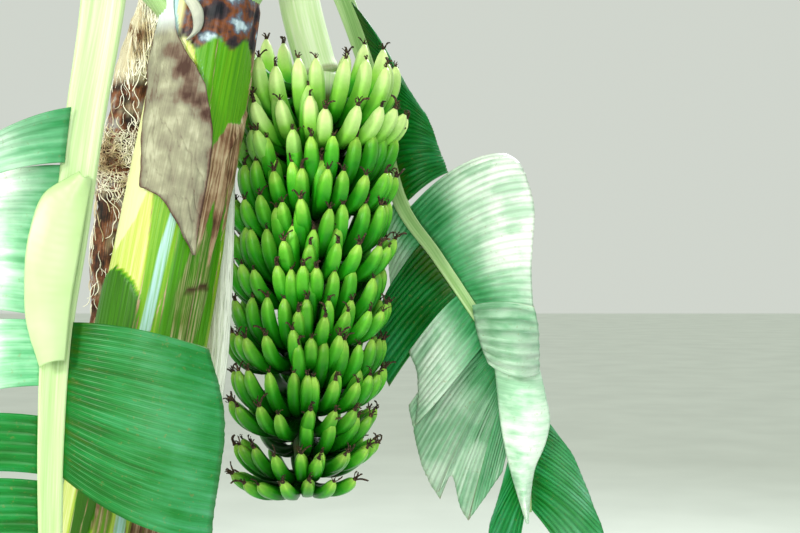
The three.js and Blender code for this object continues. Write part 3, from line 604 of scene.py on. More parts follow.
# Each layer: rows of height, left margin and right margin in degrees, how far it stands out, and marks
FRONT_LAYERS = [
    # painted sunlight: this layer's yellow is partly the sheath's own colour and partly paints the stem's lit
    # left side
    dict(lift=3, tone=0.82, rows=[(350, -160, -130), (900, -190, -90), (1240, -196, -60), (1560, -190, -56),
         (1700, -186, -58), (2000, -190, -70), (2200, -190, -80)]),
    # painted highlight: this pale cream layer paints a highlight down the stem's lit left side
    dict(lift=0, tone=1.05, rows=[(1530, -150, -146), (1590, -196, -122), (1680, -198, -108),
         (1900, -196, -100), (2040, -190, -120)]),
    # painted shade: this layer's greener tone paints the stem past the light's edge, right of the yellow
    dict(lift=1, tone=0.42, rows=[(800, -100, -88), (1100, -104, -84), (1408, -101, -52), (1531, -103, -52),
         (1660, -110, -52), (1700, -110, -60)]),
    dict(lift=2, tone=0.16, dry=0.2, rows=[(1150, -44, -38), (1250, -62, -26), (1340, -78, -14),
         (1500, -76, -8), (1600, -74, -8), (1690, -70, -30)]),
    dict(lift=0, tone=0.12, dry=0.42, rows=[(1290, -60, -50), (1360, -66, -30), (1450, -68, -22),
         (1530, -60, -26), (1590, -50, -46)]),
    dict(lift=-1, crack=0.7, rows=[(1380, -69, -66), (1450, -68, -64), (1530, -66, -64)]),
    dict(lift=-1, crack=0.9, rows=[(1360, -48, -43), (1450, -47, -42.5), (1515, -46, -44)]),
    dict(lift=-1, crack=0.7, rows=[(1340, -30, -26), (1430, -31, -26), (1500, -30, -27)]),
    dict(lift=4, dry=0.72, rows=[(1530, -50, -47), (1600, -57, -41), (1720, -57, -30), (1770, -40, -12)]),
    dict(lift=4, dry=0.8, rows=[(1508, -34, -30), (1560, -38, -24), (1640, -42, -18), (1740, -34, 2),
         (1800, -8, 12)]),
    dict(lift=4, dry=0.62, rows=[(1555, -15, -11), (1620, -20, -4), (1700, -16, 10), (1770, -6, 20),
         (1830, 2, 26), (1926, -18, 32), (2000, -10, 40)]),
    dict(lift=3, tone=0.27, rows=[(1618, -52, -50), (1650, -57, -46), (1693, -62, -36), (1743, -67, -20),
         (1790, -74, 2), (1830, -80, 8), (1870, -87, 4), (1926, -98, -20), (2000, -110, -14)]),
    dict(lift=0, wax=0.62, rows=[(1690, -62, -58), (1800, -72, -66), (1880, -84, -78), (1915, -92, -88)]),
    dict(lift=6, tone=0.04, rows=[(500, -165, -140), (900, -185, -110), (1100, -190, -96),
         (1350, -186, -93), (1440, -178, -97), (1472, -166, -108), (1490, -152, -122), (1499, -140, -135)]),
    dict(lift=0, wax=0.85, rows=[(1380, -96, -81), (1531, -92, -77), (1600, -87.5, -75), (1640, -80, -77)]),
    dict(lift=-1, dry=0.6, rows=[(1380, -93, -91.5), (1531, -91.5, -90), (1600, -88, -86.5)]),
    dict(lift=7, tone=0.9, wax=1.6, rows=[(1918, -130, -118), (1930, -143, -112), (1997, -146, -124),
         (2100, -150, -130)]),
    dict(lift=-2, crack=1, rows=[(1453, -57, -44), (1458, -55, -40)]),
    dict(lift=-2, crack=1, rows=[(1459, -45, -22), (1465, -41, -26)]),
    dict(lift=2, tone=0.86, rows=[(0, -168, -122), (700, -166, -122), (1050, -158, -124),
         (1230, -152, -128)]),
    dict(lift=2, dry=0.5, rows=[(500, -105, -84), (1000, -103, -84), (1200, -98, -90)]),
    dict(lift=1, wax=0.9, rows=[(300, -84, -72), (1000, -84, -70), (1250, -86, -80)]),
    dict(lift=4, dry=0.7, rows=[(40, -68, -14), (700, -72, -16), (1020, -70, -21), (1150, -62, -34),
         (1250, -54, -48)]),
]
HIDDEN_SHEATHS = 14
MARGIN_WIDTH = 7                        # over which a sheath's margin drops to the one below
RUST_FROM = 1918
STEM_COLUMNS = 216
STEM_ROWS = 330
STEM_SEAM = -260                        # the angle, behind the stem, at which its skin starts
INNERMOST = -8.0                        # how far the innermost sheath lies under the stem's radius


def layer_share(z, azimuth, rows):
    """How far a point lies inside a layer, from 0 outside to 1 inside its margins."""
    left, right = read(np.array(rows, float), z)
    step = np.radians(np.minimum(azimuth - left, right - azimuth)) * stem_radius(z)
    ends = np.minimum(z - rows[0][0], rows[-1][0] - z) + MARGIN_WIDTH
    return smoothstep(0, MARGIN_WIDTH, np.minimum(step, ends))


def hidden_layers():
    """Older sheaths that wrap the rest of the stem, with margins that climb round it."""
    chance = Chance(311)
    layers = []
    for index in range(HIDDEN_SHEATHS):
        middle = -20 + index * 263 / HIDDEN_SHEATHS + chance.jitter(9) - 60
        top = chance.between(800, 2150)
        half = chance.between(34, 58)
        reach = ((0, -1, 1), (0.45, -0.9, 0.85), (0.8, -0.5, 0.55), (1, 0.1, 0.16))
        rows = [(top * high, middle + half * left, middle + half * right) for high, left, right in reach]
        tone = chance.between(0.1, 0.85)
        layers.append(dict(lift=2.5, rows=rows, tone=tone, dry=chance.between(0, 0.8) ** 2))
    return layers


def make_stem():
    rows = np.linspace(0, STEM_HEIGHT, STEM_ROWS)
    columns = np.linspace(STEM_SEAM, STEM_SEAM + 360, STEM_COLUMNS, endpoint=False)
    z, azimuth = np.meshgrid(rows, columns, indexing="ij")
    arc = np.radians(azimuth + 80) * stem_radius(z)
    lift = np.full(z.shape, INNERMOST)
    marks = {"tone": 0.5 + 0.16 * ripple(arc / 400, z / 900, 5), "dry": 0.12, "wax": 0, "crack": 0}
    for layer in hidden_layers() + FRONT_LAYERS:
        turned = [layer_share(z, azimuth + turn, layer["rows"]) for turn in (-360, 0, 360)]
        inside = np.max(turned, axis=0)
        lift += layer["lift"] * inside
        for name, values in marks.items():
            if name in layer:
                marks[name] = lerp(values, layer[name], inside)
        if layer["lift"] > 0:
            marks["dry"] = np.maximum(marks["dry"], 0.6 * (inside * (1 - inside) * 4))
    lift += 1.6 * ripple(arc / 70, z / 700, 21) + 0.5 * np.sin(arc / 2.1 + 2 * ripple(arc / 50, z / 300, 8))
    foot = 1 - smoothstep(0, 600, z)
    low = smoothstep(1400, 1000, z)
    marks["dry"] = np.maximum(marks["dry"], 0.5 * foot + low * (0.22 + 0.5 * ripple(arc / 120, z / 700, 13)))
    marks["tone"] += 0.25 * low * ripple(arc / 60, z / 1500, 41)
    scallop = RUST_FROM + 11 * np.sin(np.radians(azimuth) * 9)
    rust = smoothstep(0, 10, z - scallop) * smoothstep(-122, -112, azimuth) * smoothstep(34, 20, azimuth)
    crown = smoothstep(1980, 2080, z) * 0.6
    stem = Piece()
    stem.tube(on_stem(z, azimuth, lift), along=z, across=arc, rust=np.maximum(rust, crown), **marks)
    stem.make("stem_of_sheaths", [STEM_SHEATH], ["pseudostem"])


# The loose dry sheath end on the stem's face: rows of height, left and right margin in degrees
FLAP_ROWS = np.array([
    (2050, -152, -136), (2000, -158, -129), (1950, -161, -118), (1911, -157, -103), (1875, -151, -86),
    (1841, -145, -74), (1800, -138, -66), (1757, -132, -59), (1700, -126, -56), (1650, -120, -55),
    (1634, -98, -55.5), (1606, -86, -56), (1578, -76, -56), (1545, -65, -55.5), (1522, -57, -54.5),
])
FLAP_STAINS = [                         # height, angle, size in millimetres, darkness
    (1905, -112, 26, 0.8), (1875, -98, 30, 1.0), (1835, -90, 32, 1.0), (1815, -74, 24, 0.9),
    (1792, -68, 16, 0.9), (1740, -66, 18, 0.5), (1700, -110, 14, 0.25), (1660, -92, 18, 0.3),
    (1990, -140, 40, 0.5),
]
FLAP_CURL = [                           # the papery curl above the flap: height, angle and stand-off
    (2045, -128, 12), (2010, -108, 22), (1975, -94, 24), (1945, -92, 16), (1925, -101, 10),
]
PAPER = 1.6                             # how thick dry sheath is


def make_flap():
    share = np.linspace(0, 1, 60)[None, :]
    z = np.linspace(FLAP_ROWS[0, 0], FLAP_ROWS[-1, 0], 150)[:, None]
    left, right = read(FLAP_ROWS[::-1], z)
    azimuth = lerp(left, right, share)
    z = np.broadcast_to(z, azimuth.shape)
    arc = np.radians(azimuth + 110) * stem_radius(z)
    rim = np.minimum(share, 1 - share) * (right - left) * np.pi / 180 * stem_radius(z)
    curl = 5 * np.exp(-rim / 7) * smoothstep(1900, 1700, z)
    z = z + 2 * ripple(arc / 40, z / 60, 3)
    lift = 5 + curl + 2.6 * ripple(arc / 60, z / 130, 17) + 1.3 * ripple(arc / 22, z / 70, 4)
    fold = np.abs(ripple(arc / 45 + z / 150, z / 240 - arc / 200, 61))
    lift = lift - 2.2 * np.exp(-fold * 14)
    # the darker rims are the sheath's own stains; the darkening along the folds is painted shade
    stain = np.maximum(np.exp(-rim / 4) * 0.9, 0.45 * np.exp(-fold * 30))
    uneven = 1 + 0.5 * ripple(arc / 30, z / 40, 12)
    for height, angle, size, dark in FLAP_STAINS:
        distance = np.hypot(z - height, np.radians(azimuth - angle) * 110) * uneven
        stain = np.maximum(stain, dark * np.exp(-(distance / size) ** 2))
    bloom = 0.85 * smoothstep(1935, 1985, z)
    flap = Piece()
    flap.sheet(on_stem(z, azimuth, lift)[::-1], PAPER, along=z[::-1], across=arc[::-1], stain=stain[::-1],
               bloom=bloom[::-1])
    curled = Line([on_stem(*row) for row in FLAP_CURL])
    share = np.linspace(0, 1, 40)[:, None]
    side = np.linspace(-1, 1, 9)[None, :]
    half = 11 * np.sin(np.pi * np.clip(share, 0.06, 0.985)) ** 0.6
    middle = curled.at(share[:, 0])[:, None]
    away = unit(middle - stem_axis(middle[..., 2]))
    grid = middle + np.array([1.0, 0, 0.2]) * (half * side)[..., None] - away * (5 * side**2)[..., None]
    flap.sheet(grid[::-1], PAPER, along=share[::-1] * curled.length, across=half * side, bloom=0.25)
    flap.make("dry_sheath_flap", [SHEATH_PAPER], ["dry_sheath"])


# The fruit stalk and the bunch's axis, one smooth limb

STALK_RADIUS = 43
STALK_FLARE = 8                         # how much thicker the stalk is at its foot
STALK_SIDES = 40
STALK_RINGS = 130
STALK_FOOT = [412, 45, 2230]
ARCH_MIDDLE = np.array([455, 148, 2355])
ARCH_RADIUS = 106
ARCH_HEADING = np.array([0.385, 0.923, 0])
ARCH_TURNS = (180, 135, 90, 45, 0)
STALK_END = [[506, 257, 2200], [518, 264, 2067]]
STALK_FACE = np.array([0.9, -0.42, 0])
BUNCH_TOP = np.array([557, 270, 1911.6])
BUNCH_TILT = 0.037
BUNCH_LENGTH = 884
AXIS_RADII = (43, 38, 31, 17)
AXIS_RINGS = 150
NODE_HALF_WIDTH = 9                     # of the swelling where a hand grows
ALONG_KEYS = (0, 0.25, 0.75, 1)         # shares of the bunch's length at which rows of four numbers hold
HANDS = 13
FIRST_HAND = 55
HAND_PITCH = 67.5
HAND_START = -124
HAND_TURN = 186


def along_bunch(values, t):
    return np.interp(t, ALONG_KEYS, values)


def hang(points):
    """Points of the bunch's own frame as they stand on the plant."""
    x, y, z = np.moveaxis(np.asarray(points, float), -1, 0)
    cos, sin = math.cos(BUNCH_TILT), math.sin(BUNCH_TILT)
    return np.stack([cos * x + sin * z, y, cos * z - sin * x], axis=-1) + BUNCH_TOP


def make_stalk():
    arch = [ARCH_MIDDLE + ARCH_HEADING * ARCH_RADIUS * math.cos(math.radians(turn))
            + UP * ARCH_RADIUS * math.sin(math.radians(turn)) for turn in ARCH_TURNS]
    line = Line([STALK_FOOT, *arch, *STALK_END, hang([0, 0, -2])])
    shares = np.linspace(0, 1, STALK_RINGS)
    turn = circle(STALK_SIDES)
    length = shares[:, None] * line.length
    radius = STALK_RADIUS + STALK_FLARE * (1 - shares[:, None]) ** 6
    radius = radius + 0.9 * ripple(turn * 1.4, length / 500, 2) + 0.35 * np.sin(turn * 17)
    radius = radius + 3.5 * smoothstep(line.length - 26, line.length - 8, length)
    scar = np.exp(-((length - line.length + 4) / 4) ** 2) + 0.5 * np.exp(-((length - 240) / 5) ** 2)
    tangent = line.tangent(shares)
    face = square_to(np.broadcast_to(STALK_FACE, tangent.shape), tangent)
    ring = face[:, None] * np.sin(turn)[:, None] - np.cross(tangent, face)[:, None] * np.cos(turn)[:, None]
    limb = Piece()
    limb.tube(line.at(shares)[:, None] + ring * radius[..., None], along=length, across=turn * STALK_RADIUS,
              scar=scar)
    drop = np.linspace(0, BUNCH_LENGTH, AXIS_RINGS)[:, None]
    from_hand = (drop - FIRST_HAND) / HAND_PITCH
    node = np.exp(-((from_hand - np.round(from_hand)) * HAND_PITCH / NODE_HALF_WIDTH) ** 2)
    radius = along_bunch(AXIS_RADII, drop / BUNCH_LENGTH) - 1.5
    radius = radius + 1.2 * node + 0.7 * ripple(turn * 1.2, drop / 200, 9)
    points = np.stack([radius * np.cos(turn), -radius * np.sin(turn), -drop + 0 * turn], axis=-1)
    cut = smoothstep(BUNCH_LENGTH - 12, BUNCH_LENGTH, drop)
    # shade paints the axis dark where it lies among the hands
    limb.tube(hang(points), along=drop, across=turn * AXIS_RADII[1], scar=np.maximum(0.5 * node, cut),
              shade=smoothstep(10, 60, drop) * (1 - cut))
    limb.make("fruit_stalk", [STALK_SKIN], ["stalk_rise", "stalk_fall", "bunch_axis"])


# The fruit: a pad and two rows of fingers to each hand

FINGERS_PER_ROW = (14, 14, 14, 12)
FINGER_SIZES = (1.1, 1.02, 0.94, 0.9)
HAND_SPANS = (206, 212, 226, 230)
HAND_SLANT = 10                         # how much higher a hand's end stands than its middle
FIRST_HAND_STOPS = -60                  # where the first hand ends, so that the stalk's front stays bare
PAD_RADII = (60, 58, 51, 38)
PAD_INSET = 13                          # how far inside that radius the pad's middle lies
PAD_HALF_DEPTH = 11
PAD_HALF_HEIGHT = 19
PAD_SIDES = 12
PAD_RINGS = 28
ROW_OFFSET = 11
FINGER_ROOT = 14
SUN_BELOW = 0.03                        # how much painted sunlight the hands under the first few get
FINGER_SIDES = 15
FINGER_RINGS = 17
FINGER_RIDGES = 5
RIDGE_HEIGHT = 0.075                    # as a share of the finger's radius
FINGER_PROFILE = np.array([             # place along the finger, radius
    [0, 8.5], [0.08, 7.8], [0.16, 9.6], [0.26, 12.8], [0.38, 15.1], [0.56, 16], [0.75, 15.6],
    [0.86, 14], [0.925, 11.2], [0.965, 7.6], [0.988, 5], [1, 3.8],
])
FINGER_ROWS = (                         # length and climb at the start and end, as they change down the bunch
    {"side": 1, "length": (206, 186, 176, 146), "start": (-6, -10, -14, -10), "end": (84, 88, 84, 54)},
    {"side": -1, "length": (184, 174, 166, 138), "start": (-36, -44, -44, -28), "end": (64, 78, 72, 38)},
)
# how far chance moves a finger's angle, height and the rest
STRAY = {"angle": 2.5, "height": 5, "length": 0.035, "start": 4, "end": 7, "sway": 9}


def outward(degrees):
    turn = math.radians(degrees)
    return np.array([math.sin(turn), -math.cos(turn), 0.0])


def finger_rings(angle, foot, z, length, start, end, sway):
    """A finger's rings, in the bunch's own frame, and the way its tip points."""
    fine = 60
    t = (np.arange(fine) + 0.5) / fine
    rise = np.radians(lerp(start, end, 1 - (1 - t) ** 1.2))
    reach = foot + np.concatenate([[0], np.cumsum(np.cos(rise))]) * length / fine
    height = z + np.concatenate([[0], np.cumsum(np.sin(rise))]) * length / fine
    share = (1 - (1 - np.linspace(0, 1, FINGER_RINGS)) ** 1.25)[:, None]
    grid = np.linspace(0, 1, fine + 1)
    out = outward(angle)
    side = outward(angle + 90)
    centre = np.interp(share, grid, reach) * out + np.interp(share, grid, height) * UP
    centre = centre + side * sway * share**2
    tilt = np.radians(lerp(start, end, 1 - (1 - share) ** 1.2))
    deep = np.cos(tilt) * UP - np.sin(tilt) * out
    turn = circle(FINGER_SIDES)
    ridge = np.cos(FINGER_RIDGES * turn)
    radius = read(FINGER_PROFILE, share)[0]
    radius = radius * (1 + RIDGE_HEIGHT * ridge * smoothstep(0.15, 0.4, share))
    ring = deep[:, None] * np.cos(turn)[:, None] - side * np.sin(turn)[:, None]
    tip = math.radians(end)
    return centre[:, None] + ring * radius[..., None], share, ridge, out * math.cos(tip) + UP * math.sin(tip)


def make_fruit():
    chance = Chance(20407)
    tips = []
    for index in range(HANDS):
        t = index / (HANDS - 1)
        middle = HAND_START + HAND_TURN * index
        level = -FIRST_HAND - HAND_PITCH * index
        count = round(float(along_bunch(FINGERS_PER_ROW, t)))
        pad_radius, size, span = (along_bunch(values, t) for values in (PAD_RADII, FINGER_SIZES, HAND_SPANS))
        hand = Piece()
        for row in FINGER_ROWS:
            in_row = count if row["side"] > 0 else count - 1
            for k in range(in_row):
                place = (k - (in_row - 1) / 2) / (count - 1)
                angle = middle + place * span + chance.jitter(STRAY["angle"])
                if index == 0 and angle > FIRST_HAND_STOPS:
                    continue
                height = level + row["side"] * ROW_OFFSET + HAND_SLANT * 2 * place
                rings, share, ridge, heading = finger_rings(
                    angle,
                    pad_radius - FINGER_ROOT,
                    height + chance.jitter(STRAY["height"]),
                    along_bunch(row["length"], t) * (1 + chance.jitter(STRAY["length"])),
                    along_bunch(row["start"], t) + chance.jitter(STRAY["start"]),
                    along_bunch(row["end"], t) + chance.jitter(STRAY["end"]),
                    chance.jitter(STRAY["sway"]),
                )
                middles = rings.mean(1, keepdims=True)
                # sun paints sunlight on the upper hands, less on each lower one
                hand.tube(hang(lerp(middles, rings, size)), along=share, ridge=ridge,
                          tone=chance.draw() - 0.6 * t, sun=max(SUN_BELOW, 1 - 0.36 * index))
                tips.append((hang(middles[-1, 0]), heading))
        last = FIRST_HAND_STOPS if index == 0 else middle + span / 2 + 3
        # the pad's low along paints it in the dark shade among the fingers
        hand.tube(hang(pad_rings(middle - span / 2 - 3, last, pad_radius, level)), along=0.1, tone=0.3)
        hand.make(f"fruit_hand_{index + 1:02d}", [FRUIT_SKIN], [f"hand_{index + 1:02d}"])
    return tips


def pad_rings(first, last, radius, level):
    """The thick cushion that a hand's fingers grow from, bent round the axis."""
    turn = circle(PAD_SIDES)
    angles = np.linspace(first, last, PAD_RINGS)
    rings = []
    for i, angle in enumerate(angles):
        end = math.sin(math.pi * min(1, max(0, (i + 0.35) / (len(angles) - 0.3)))) ** 0.35
        reach = radius - PAD_INSET + PAD_HALF_DEPTH * end * np.cos(turn)
        height = level - PAD_HALF_HEIGHT * end * np.sin(turn)
        rings.append(np.outer(reach, outward(angle)) + np.outer(height, UP))
    return np.array(rings)


def flower_stars(add, given):
    """Dried flowers: on each tip a shrivelled star of five curled petals round a knob."""
    bend = add(CURVE, {
        "Resolution": 5, "Start": (0, 0, 0), "Start Handle": (0, 0, 0.006),
        "End Handle": (0.002, 0.001, 0.013), "End": (0.008, 0.002, 0.013),
    }, mode="POSITION")
    shape = add(CIRCLE, {"Resolution": 4, "Radius": given["Petal width"]}, mode="RADIUS")
    petal = add(TO_MESH, {"Curve": bend, "Profile Curve": shape, "Fill Caps": True})
    ring = add(CIRCLE, {"Resolution": 5, "Radius": 0.0015}, mode="RADIUS")
    spots = add("GeometryNodeCurveToPoints", {"Curve": ring, "Count": 5}, mode="COUNT")
    wild = add(RANDOM, {0: (-0.8, -0.8, 0.0), 1: (0.8, 0.8, 6.3), "Seed": 3}, data_type="FLOAT_VECTOR")
    long = add(RANDOM, {2: 0.45, 3: 1.5, "Seed": 8}, out=1, data_type="FLOAT")
    petals = add(ON_POINTS, {"Points": spots, "Instance": petal, "Rotation": wild, "Scale": long})
    knob = add("GeometryNodeMeshCone", {
        "Vertices": 6, "Radius Top": 0.0022, "Radius Bottom": given["Base width"], "Depth": 0.006,
    })
    star = add("GeometryNodeJoinGeometry", [petals])
    knob.node.id_data.links.new(knob, star.node.inputs[0])
    facing = add(NAMED, {"Name": "facing"}, data_type="FLOAT_VECTOR")
    turned = add(ALIGN, {"Vector": facing}, axis="Z")
    spin = add(RANDOM, {2: 0.0, 3: 6.28, "Seed": 5}, out=1, data_type="FLOAT")
    spun = add(ROTATE, {"Rotation": turned, "Axis": (0, 0, 1), "Angle": spin}, **AROUND_ITS_AXIS)
    grow = add(RANDOM, {2: 0.65, 3: 1.35, "Seed": 11}, out=1, data_type="FLOAT")
    cloud = add("GeometryNodeMeshToPoints", {"Mesh": given["Geometry"]})
    flowers = add(ON_POINTS, {"Points": cloud, "Instance": star, "Rotation": spun, "Scale": grow})
    rough = add(NOISE, {"Scale": 300.0}, out=1)
    wobble = add("ShaderNodeVectorMath", [rough, (0.5, 0.5, 0.5)], operation="SUBTRACT")
    small = add("ShaderNodeVectorMath", {0: wobble, "Scale": 0.005}, operation="SCALE")
    return add("GeometryNodeSetPosition", {"Geometry": add(REALIZE, [flowers]), "Offset": small})


def make_dried_flowers(tips):
    points = bpy.data.meshes.new("tips")
    points.from_pydata([Vector(tip * MM) for tip, _ in tips], [], [])
    facing = points.attributes.new("facing", "FLOAT_VECTOR", "POINT")
    facing.data.foreach_set("vector", np.array([heading for _, heading in tips]).ravel())
    sizes = {"Petal width": 0.0012, "Base width": 0.004}
    scatter("dried_flowers", points, sizes, flower_stars, DRIED_FLOWER)


# Leaves: a channelled rib, and pleated strips on both sides of it

BLADE_THICKNESS = 1.8
VEIN_SWEEP = 0.22
PLEAT_PITCH = 16
ROWS_PER_PLEAT = 5
RIB_FOOT = np.array([44, 24])           # half the rib's width and depth at its foot and at its tip
RIB_TIP = np.array([9, 8])
RIB_CLASP = 10                          # how much wider it is where it clasps the stem
CLASP_LENGTH = 110
RIB_SIDES = 18


def rib_size_at(shares, rib_size):
    """Half the rib's width and depth along it."""
    return lerp(RIB_FOOT * rib_size, RIB_TIP, np.asarray(shares)[:, None] ** 0.6).T


def rib(piece, line, front, rib_size, steps, tone):
    """A leaf's stalk and midrib: round below, with a channel along the face that turns to the front."""
    shares = np.linspace(0, 1, steps)
    tangent = line.tangent(shares)
    face = square_to(lerp(UP, front, np.minimum(1, shares * 2)[:, None]), tangent)
    across = np.cross(tangent, face)
    wide, deep = rib_size_at(shares, rib_size)
    wide = wide + RIB_CLASP * np.exp(-(shares * line.length / CLASP_LENGTH) ** 2)
    turn = circle(RIB_SIDES)
    channel = np.clip(np.sin(turn), 0, 1) ** 2
    depth = (0.75 * smoothstep(0.0, 0.06, shares) * smoothstep(1.0, 0.8, shares))[:, None]
    lift = np.sin(turn) * (1 - depth * channel * 1.15)
    rings = (line.at(shares)[:, None] - across[:, None] * (wide[:, None] * np.cos(turn))[..., None]
             + face[:, None] * (deep[:, None] * lift)[..., None])
    piece.tube(rings, 1, along=shares[:, None] * line.length, across=turn * wide[:, None],
               groove=channel * depth * (0.3 + 2 * tone), tone=tone)


def pleated(grid, along, across, amplitude, seed, waves):
    """The grid pushed out of its own plane: pleats that follow the veins, and a slow waviness."""
    fade = smoothstep(0, 0.12, across) * (1 - 0.85 * smoothstep(0.7, 1.0, across))
    pleat = np.sin(along * 2 * math.pi / PLEAT_PITCH)
    pleat = np.sign(pleat) * np.abs(pleat) ** 0.75 * amplitude * fade
    slow = waves * across * ripple(along / 260, across * 0.7, seed)
    return grid + unit(crossed(grid)) * (pleat + slow)[..., None]


# Crown leaves: azimuth, sway, foot, start, end, stalk, blade, half width, droop, as in the part's source
LEAVES = [
    (20, 26, 2160, 82, 18, 320, 1150, 225, 10),
    (170, -12, 2135, 77, -14, 350, 1330, 255, 18),
    (-42, 10, 2110, 72, -16, 360, 1370, 265, 20),
    (132, 14, 2085, 70, -34, 370, 1400, 275, 26),
    (-74, -14, 2060, 66, -12, 380, 1300, 270, 24),
    (-146, -10, 2030, 60, -50, 390, 1400, 280, 34),
    (-8, -8, 2000, 56, -52, 400, 1380, 280, 36),
    (-166, 22, 1970, 46, -72, 410, 1400, 275, 44),
]
STRIPS_PER_SIDE = 5
MOST_IN_STRIP = 4                       # the most finer strips that one of the source's is torn into
TEAR_AT_RIB = 1.5
TEAR_AT_EDGE = (5, 20)                  # the narrowest and widest tear between two of the source's strips
FINE_TEAR_AT_EDGE = (1, 9)
PLEAT_DEPTH = 2.2
COLUMNS = 12
RIB_BENDS = 24
CROWN_RIB = {"rib_size": 0.86, "steps": 70, "tone": 0.5}


def arched_line(azimuth, sway, foot, start, end, length):
    """A crown leaf's rib, which leaves the stem steeply and arches over."""
    heading = math.radians(azimuth)
    points = [stem_axis(foot) + np.array([math.cos(heading), math.sin(heading), 0]) * stem_radius(foot) * 0.6]
    for i in range(RIB_BENDS):
        t = (i + 0.5) / RIB_BENDS
        turn = math.radians(azimuth + sway * t)
        rise = math.radians(start + (end - start) * t**1.4)
        way = np.array([math.cos(turn) * math.cos(rise), math.sin(turn) * math.cos(rise), math.sin(rise)])
        points.append(points[-1] + way * length / RIB_BENDS)
    return Line(points)


def blade_shape(u):
    u = np.clip(u, 0.002, 0.998)
    return (1 - np.abs(2 * u - 1) ** 2.6) ** (1 / 2.6) * (1.05 - 0.16 * u)


def make_arched_leaf(number, leaf, chance):
    azimuth, sway, foot, start, end, stalk, blade, half, droop = leaf
    line = arched_line(azimuth, sway, foot, start, end, stalk + blade)
    piece = Piece()
    rib(piece, line, UP, **CROWN_RIB)
    for index in range(STRIPS_PER_SIDE):
        for side in (-1, 1):
            bend = droop + chance.jitter(9)
            count = 1 + int(chance.draw() * MOST_IN_STRIP)
            inner = [(index + (k + chance.jitter(0.25)) / count) / STRIPS_PER_SIDE for k in range(1, count)]
            cuts = [index / STRIPS_PER_SIDE, *inner, (index + 1) / STRIPS_PER_SIDE]
            for ends in zip(cuts, cuts[1:]):
                gaps = [chance.between(*(TEAR_AT_EDGE if cut in (cuts[0], cuts[-1]) else FINE_TEAR_AT_EDGE))
                        for cut in ends]
                hang_down = math.radians(bend + chance.jitter(4))
                fine_strip(piece, line, (stalk, blade, half), side, ends, gaps, hang_down, chance)
    nodes = [f"leaf_{number}_inner", f"leaf_{number}_outer"]
    piece.make(f"crown_leaf_{number}", [LEAF_BLADE, LEAF_MIDRIB], nodes)


def fine_strip(piece, line, sizes, side, ends, gaps, bend, chance):
    """One torn strip of a crown leaf's blade, from the rib to its ragged end."""
    stalk, blade, half = sizes
    width = (ends[1] - ends[0]) * blade
    v = np.linspace(0, 1, max(6, int(width / PLEAT_PITCH * ROWS_PER_PLEAT)))[:, None]
    c = np.linspace(0, 1, COLUMNS)[None, :] ** 0.9
    tear = smoothstep(chance.between(0.1, 0.5), 1, c)
    low = ends[0] + lerp(TEAR_AT_RIB, gaps[0], tear) / blade
    high = ends[1] - lerp(TEAR_AT_RIB, gaps[1], tear) / blade
    u = np.clip(lerp(low, high, v), 0.0, 0.995)
    share = (stalk + u * blade) / (stalk + blade)
    tangent = line.tangent(share)
    lifted = square_to(np.broadcast_to(UP, tangent.shape), tangent)
    across = np.cross(tangent, lifted) * side
    down = unit(lifted * -0.5 - UP * 0.5)
    drop = (bend * 2 * c)[..., None]
    reach = across * np.cos(drop) + down * np.sin(drop)
    reach = reach * math.cos(VEIN_SWEEP) + tangent * math.sin(VEIN_SWEEP)
    notch = 1 - 0.035 * np.abs(ripple(u * blade / 45, 0, chance.seed())) * (c > 0.9)
    step = half * blade_shape(u) * notch * np.diff(c, axis=1, prepend=0)
    grid = line.at(share) + np.cumsum(reach * step[..., None], axis=1)
    along = u * blade
    grid = pleated(grid, along, c, PLEAT_DEPTH, chance.seed(), waves=6)
    torn = np.minimum(v, 1 - v) * width
    dry = 0.75 * np.exp(-torn / 5) * smoothstep(0.5, 1, c) + 0.8 * smoothstep(0.95, 1, c)
    # the strips of one side are laid in backwards, so that their upper side faces up too
    piece.sheet(grid[::-side], BLADE_THICKNESS, along=along[::-side], across=c, dry=dry[::-side],
                tone=chance.draw(), folded=1)


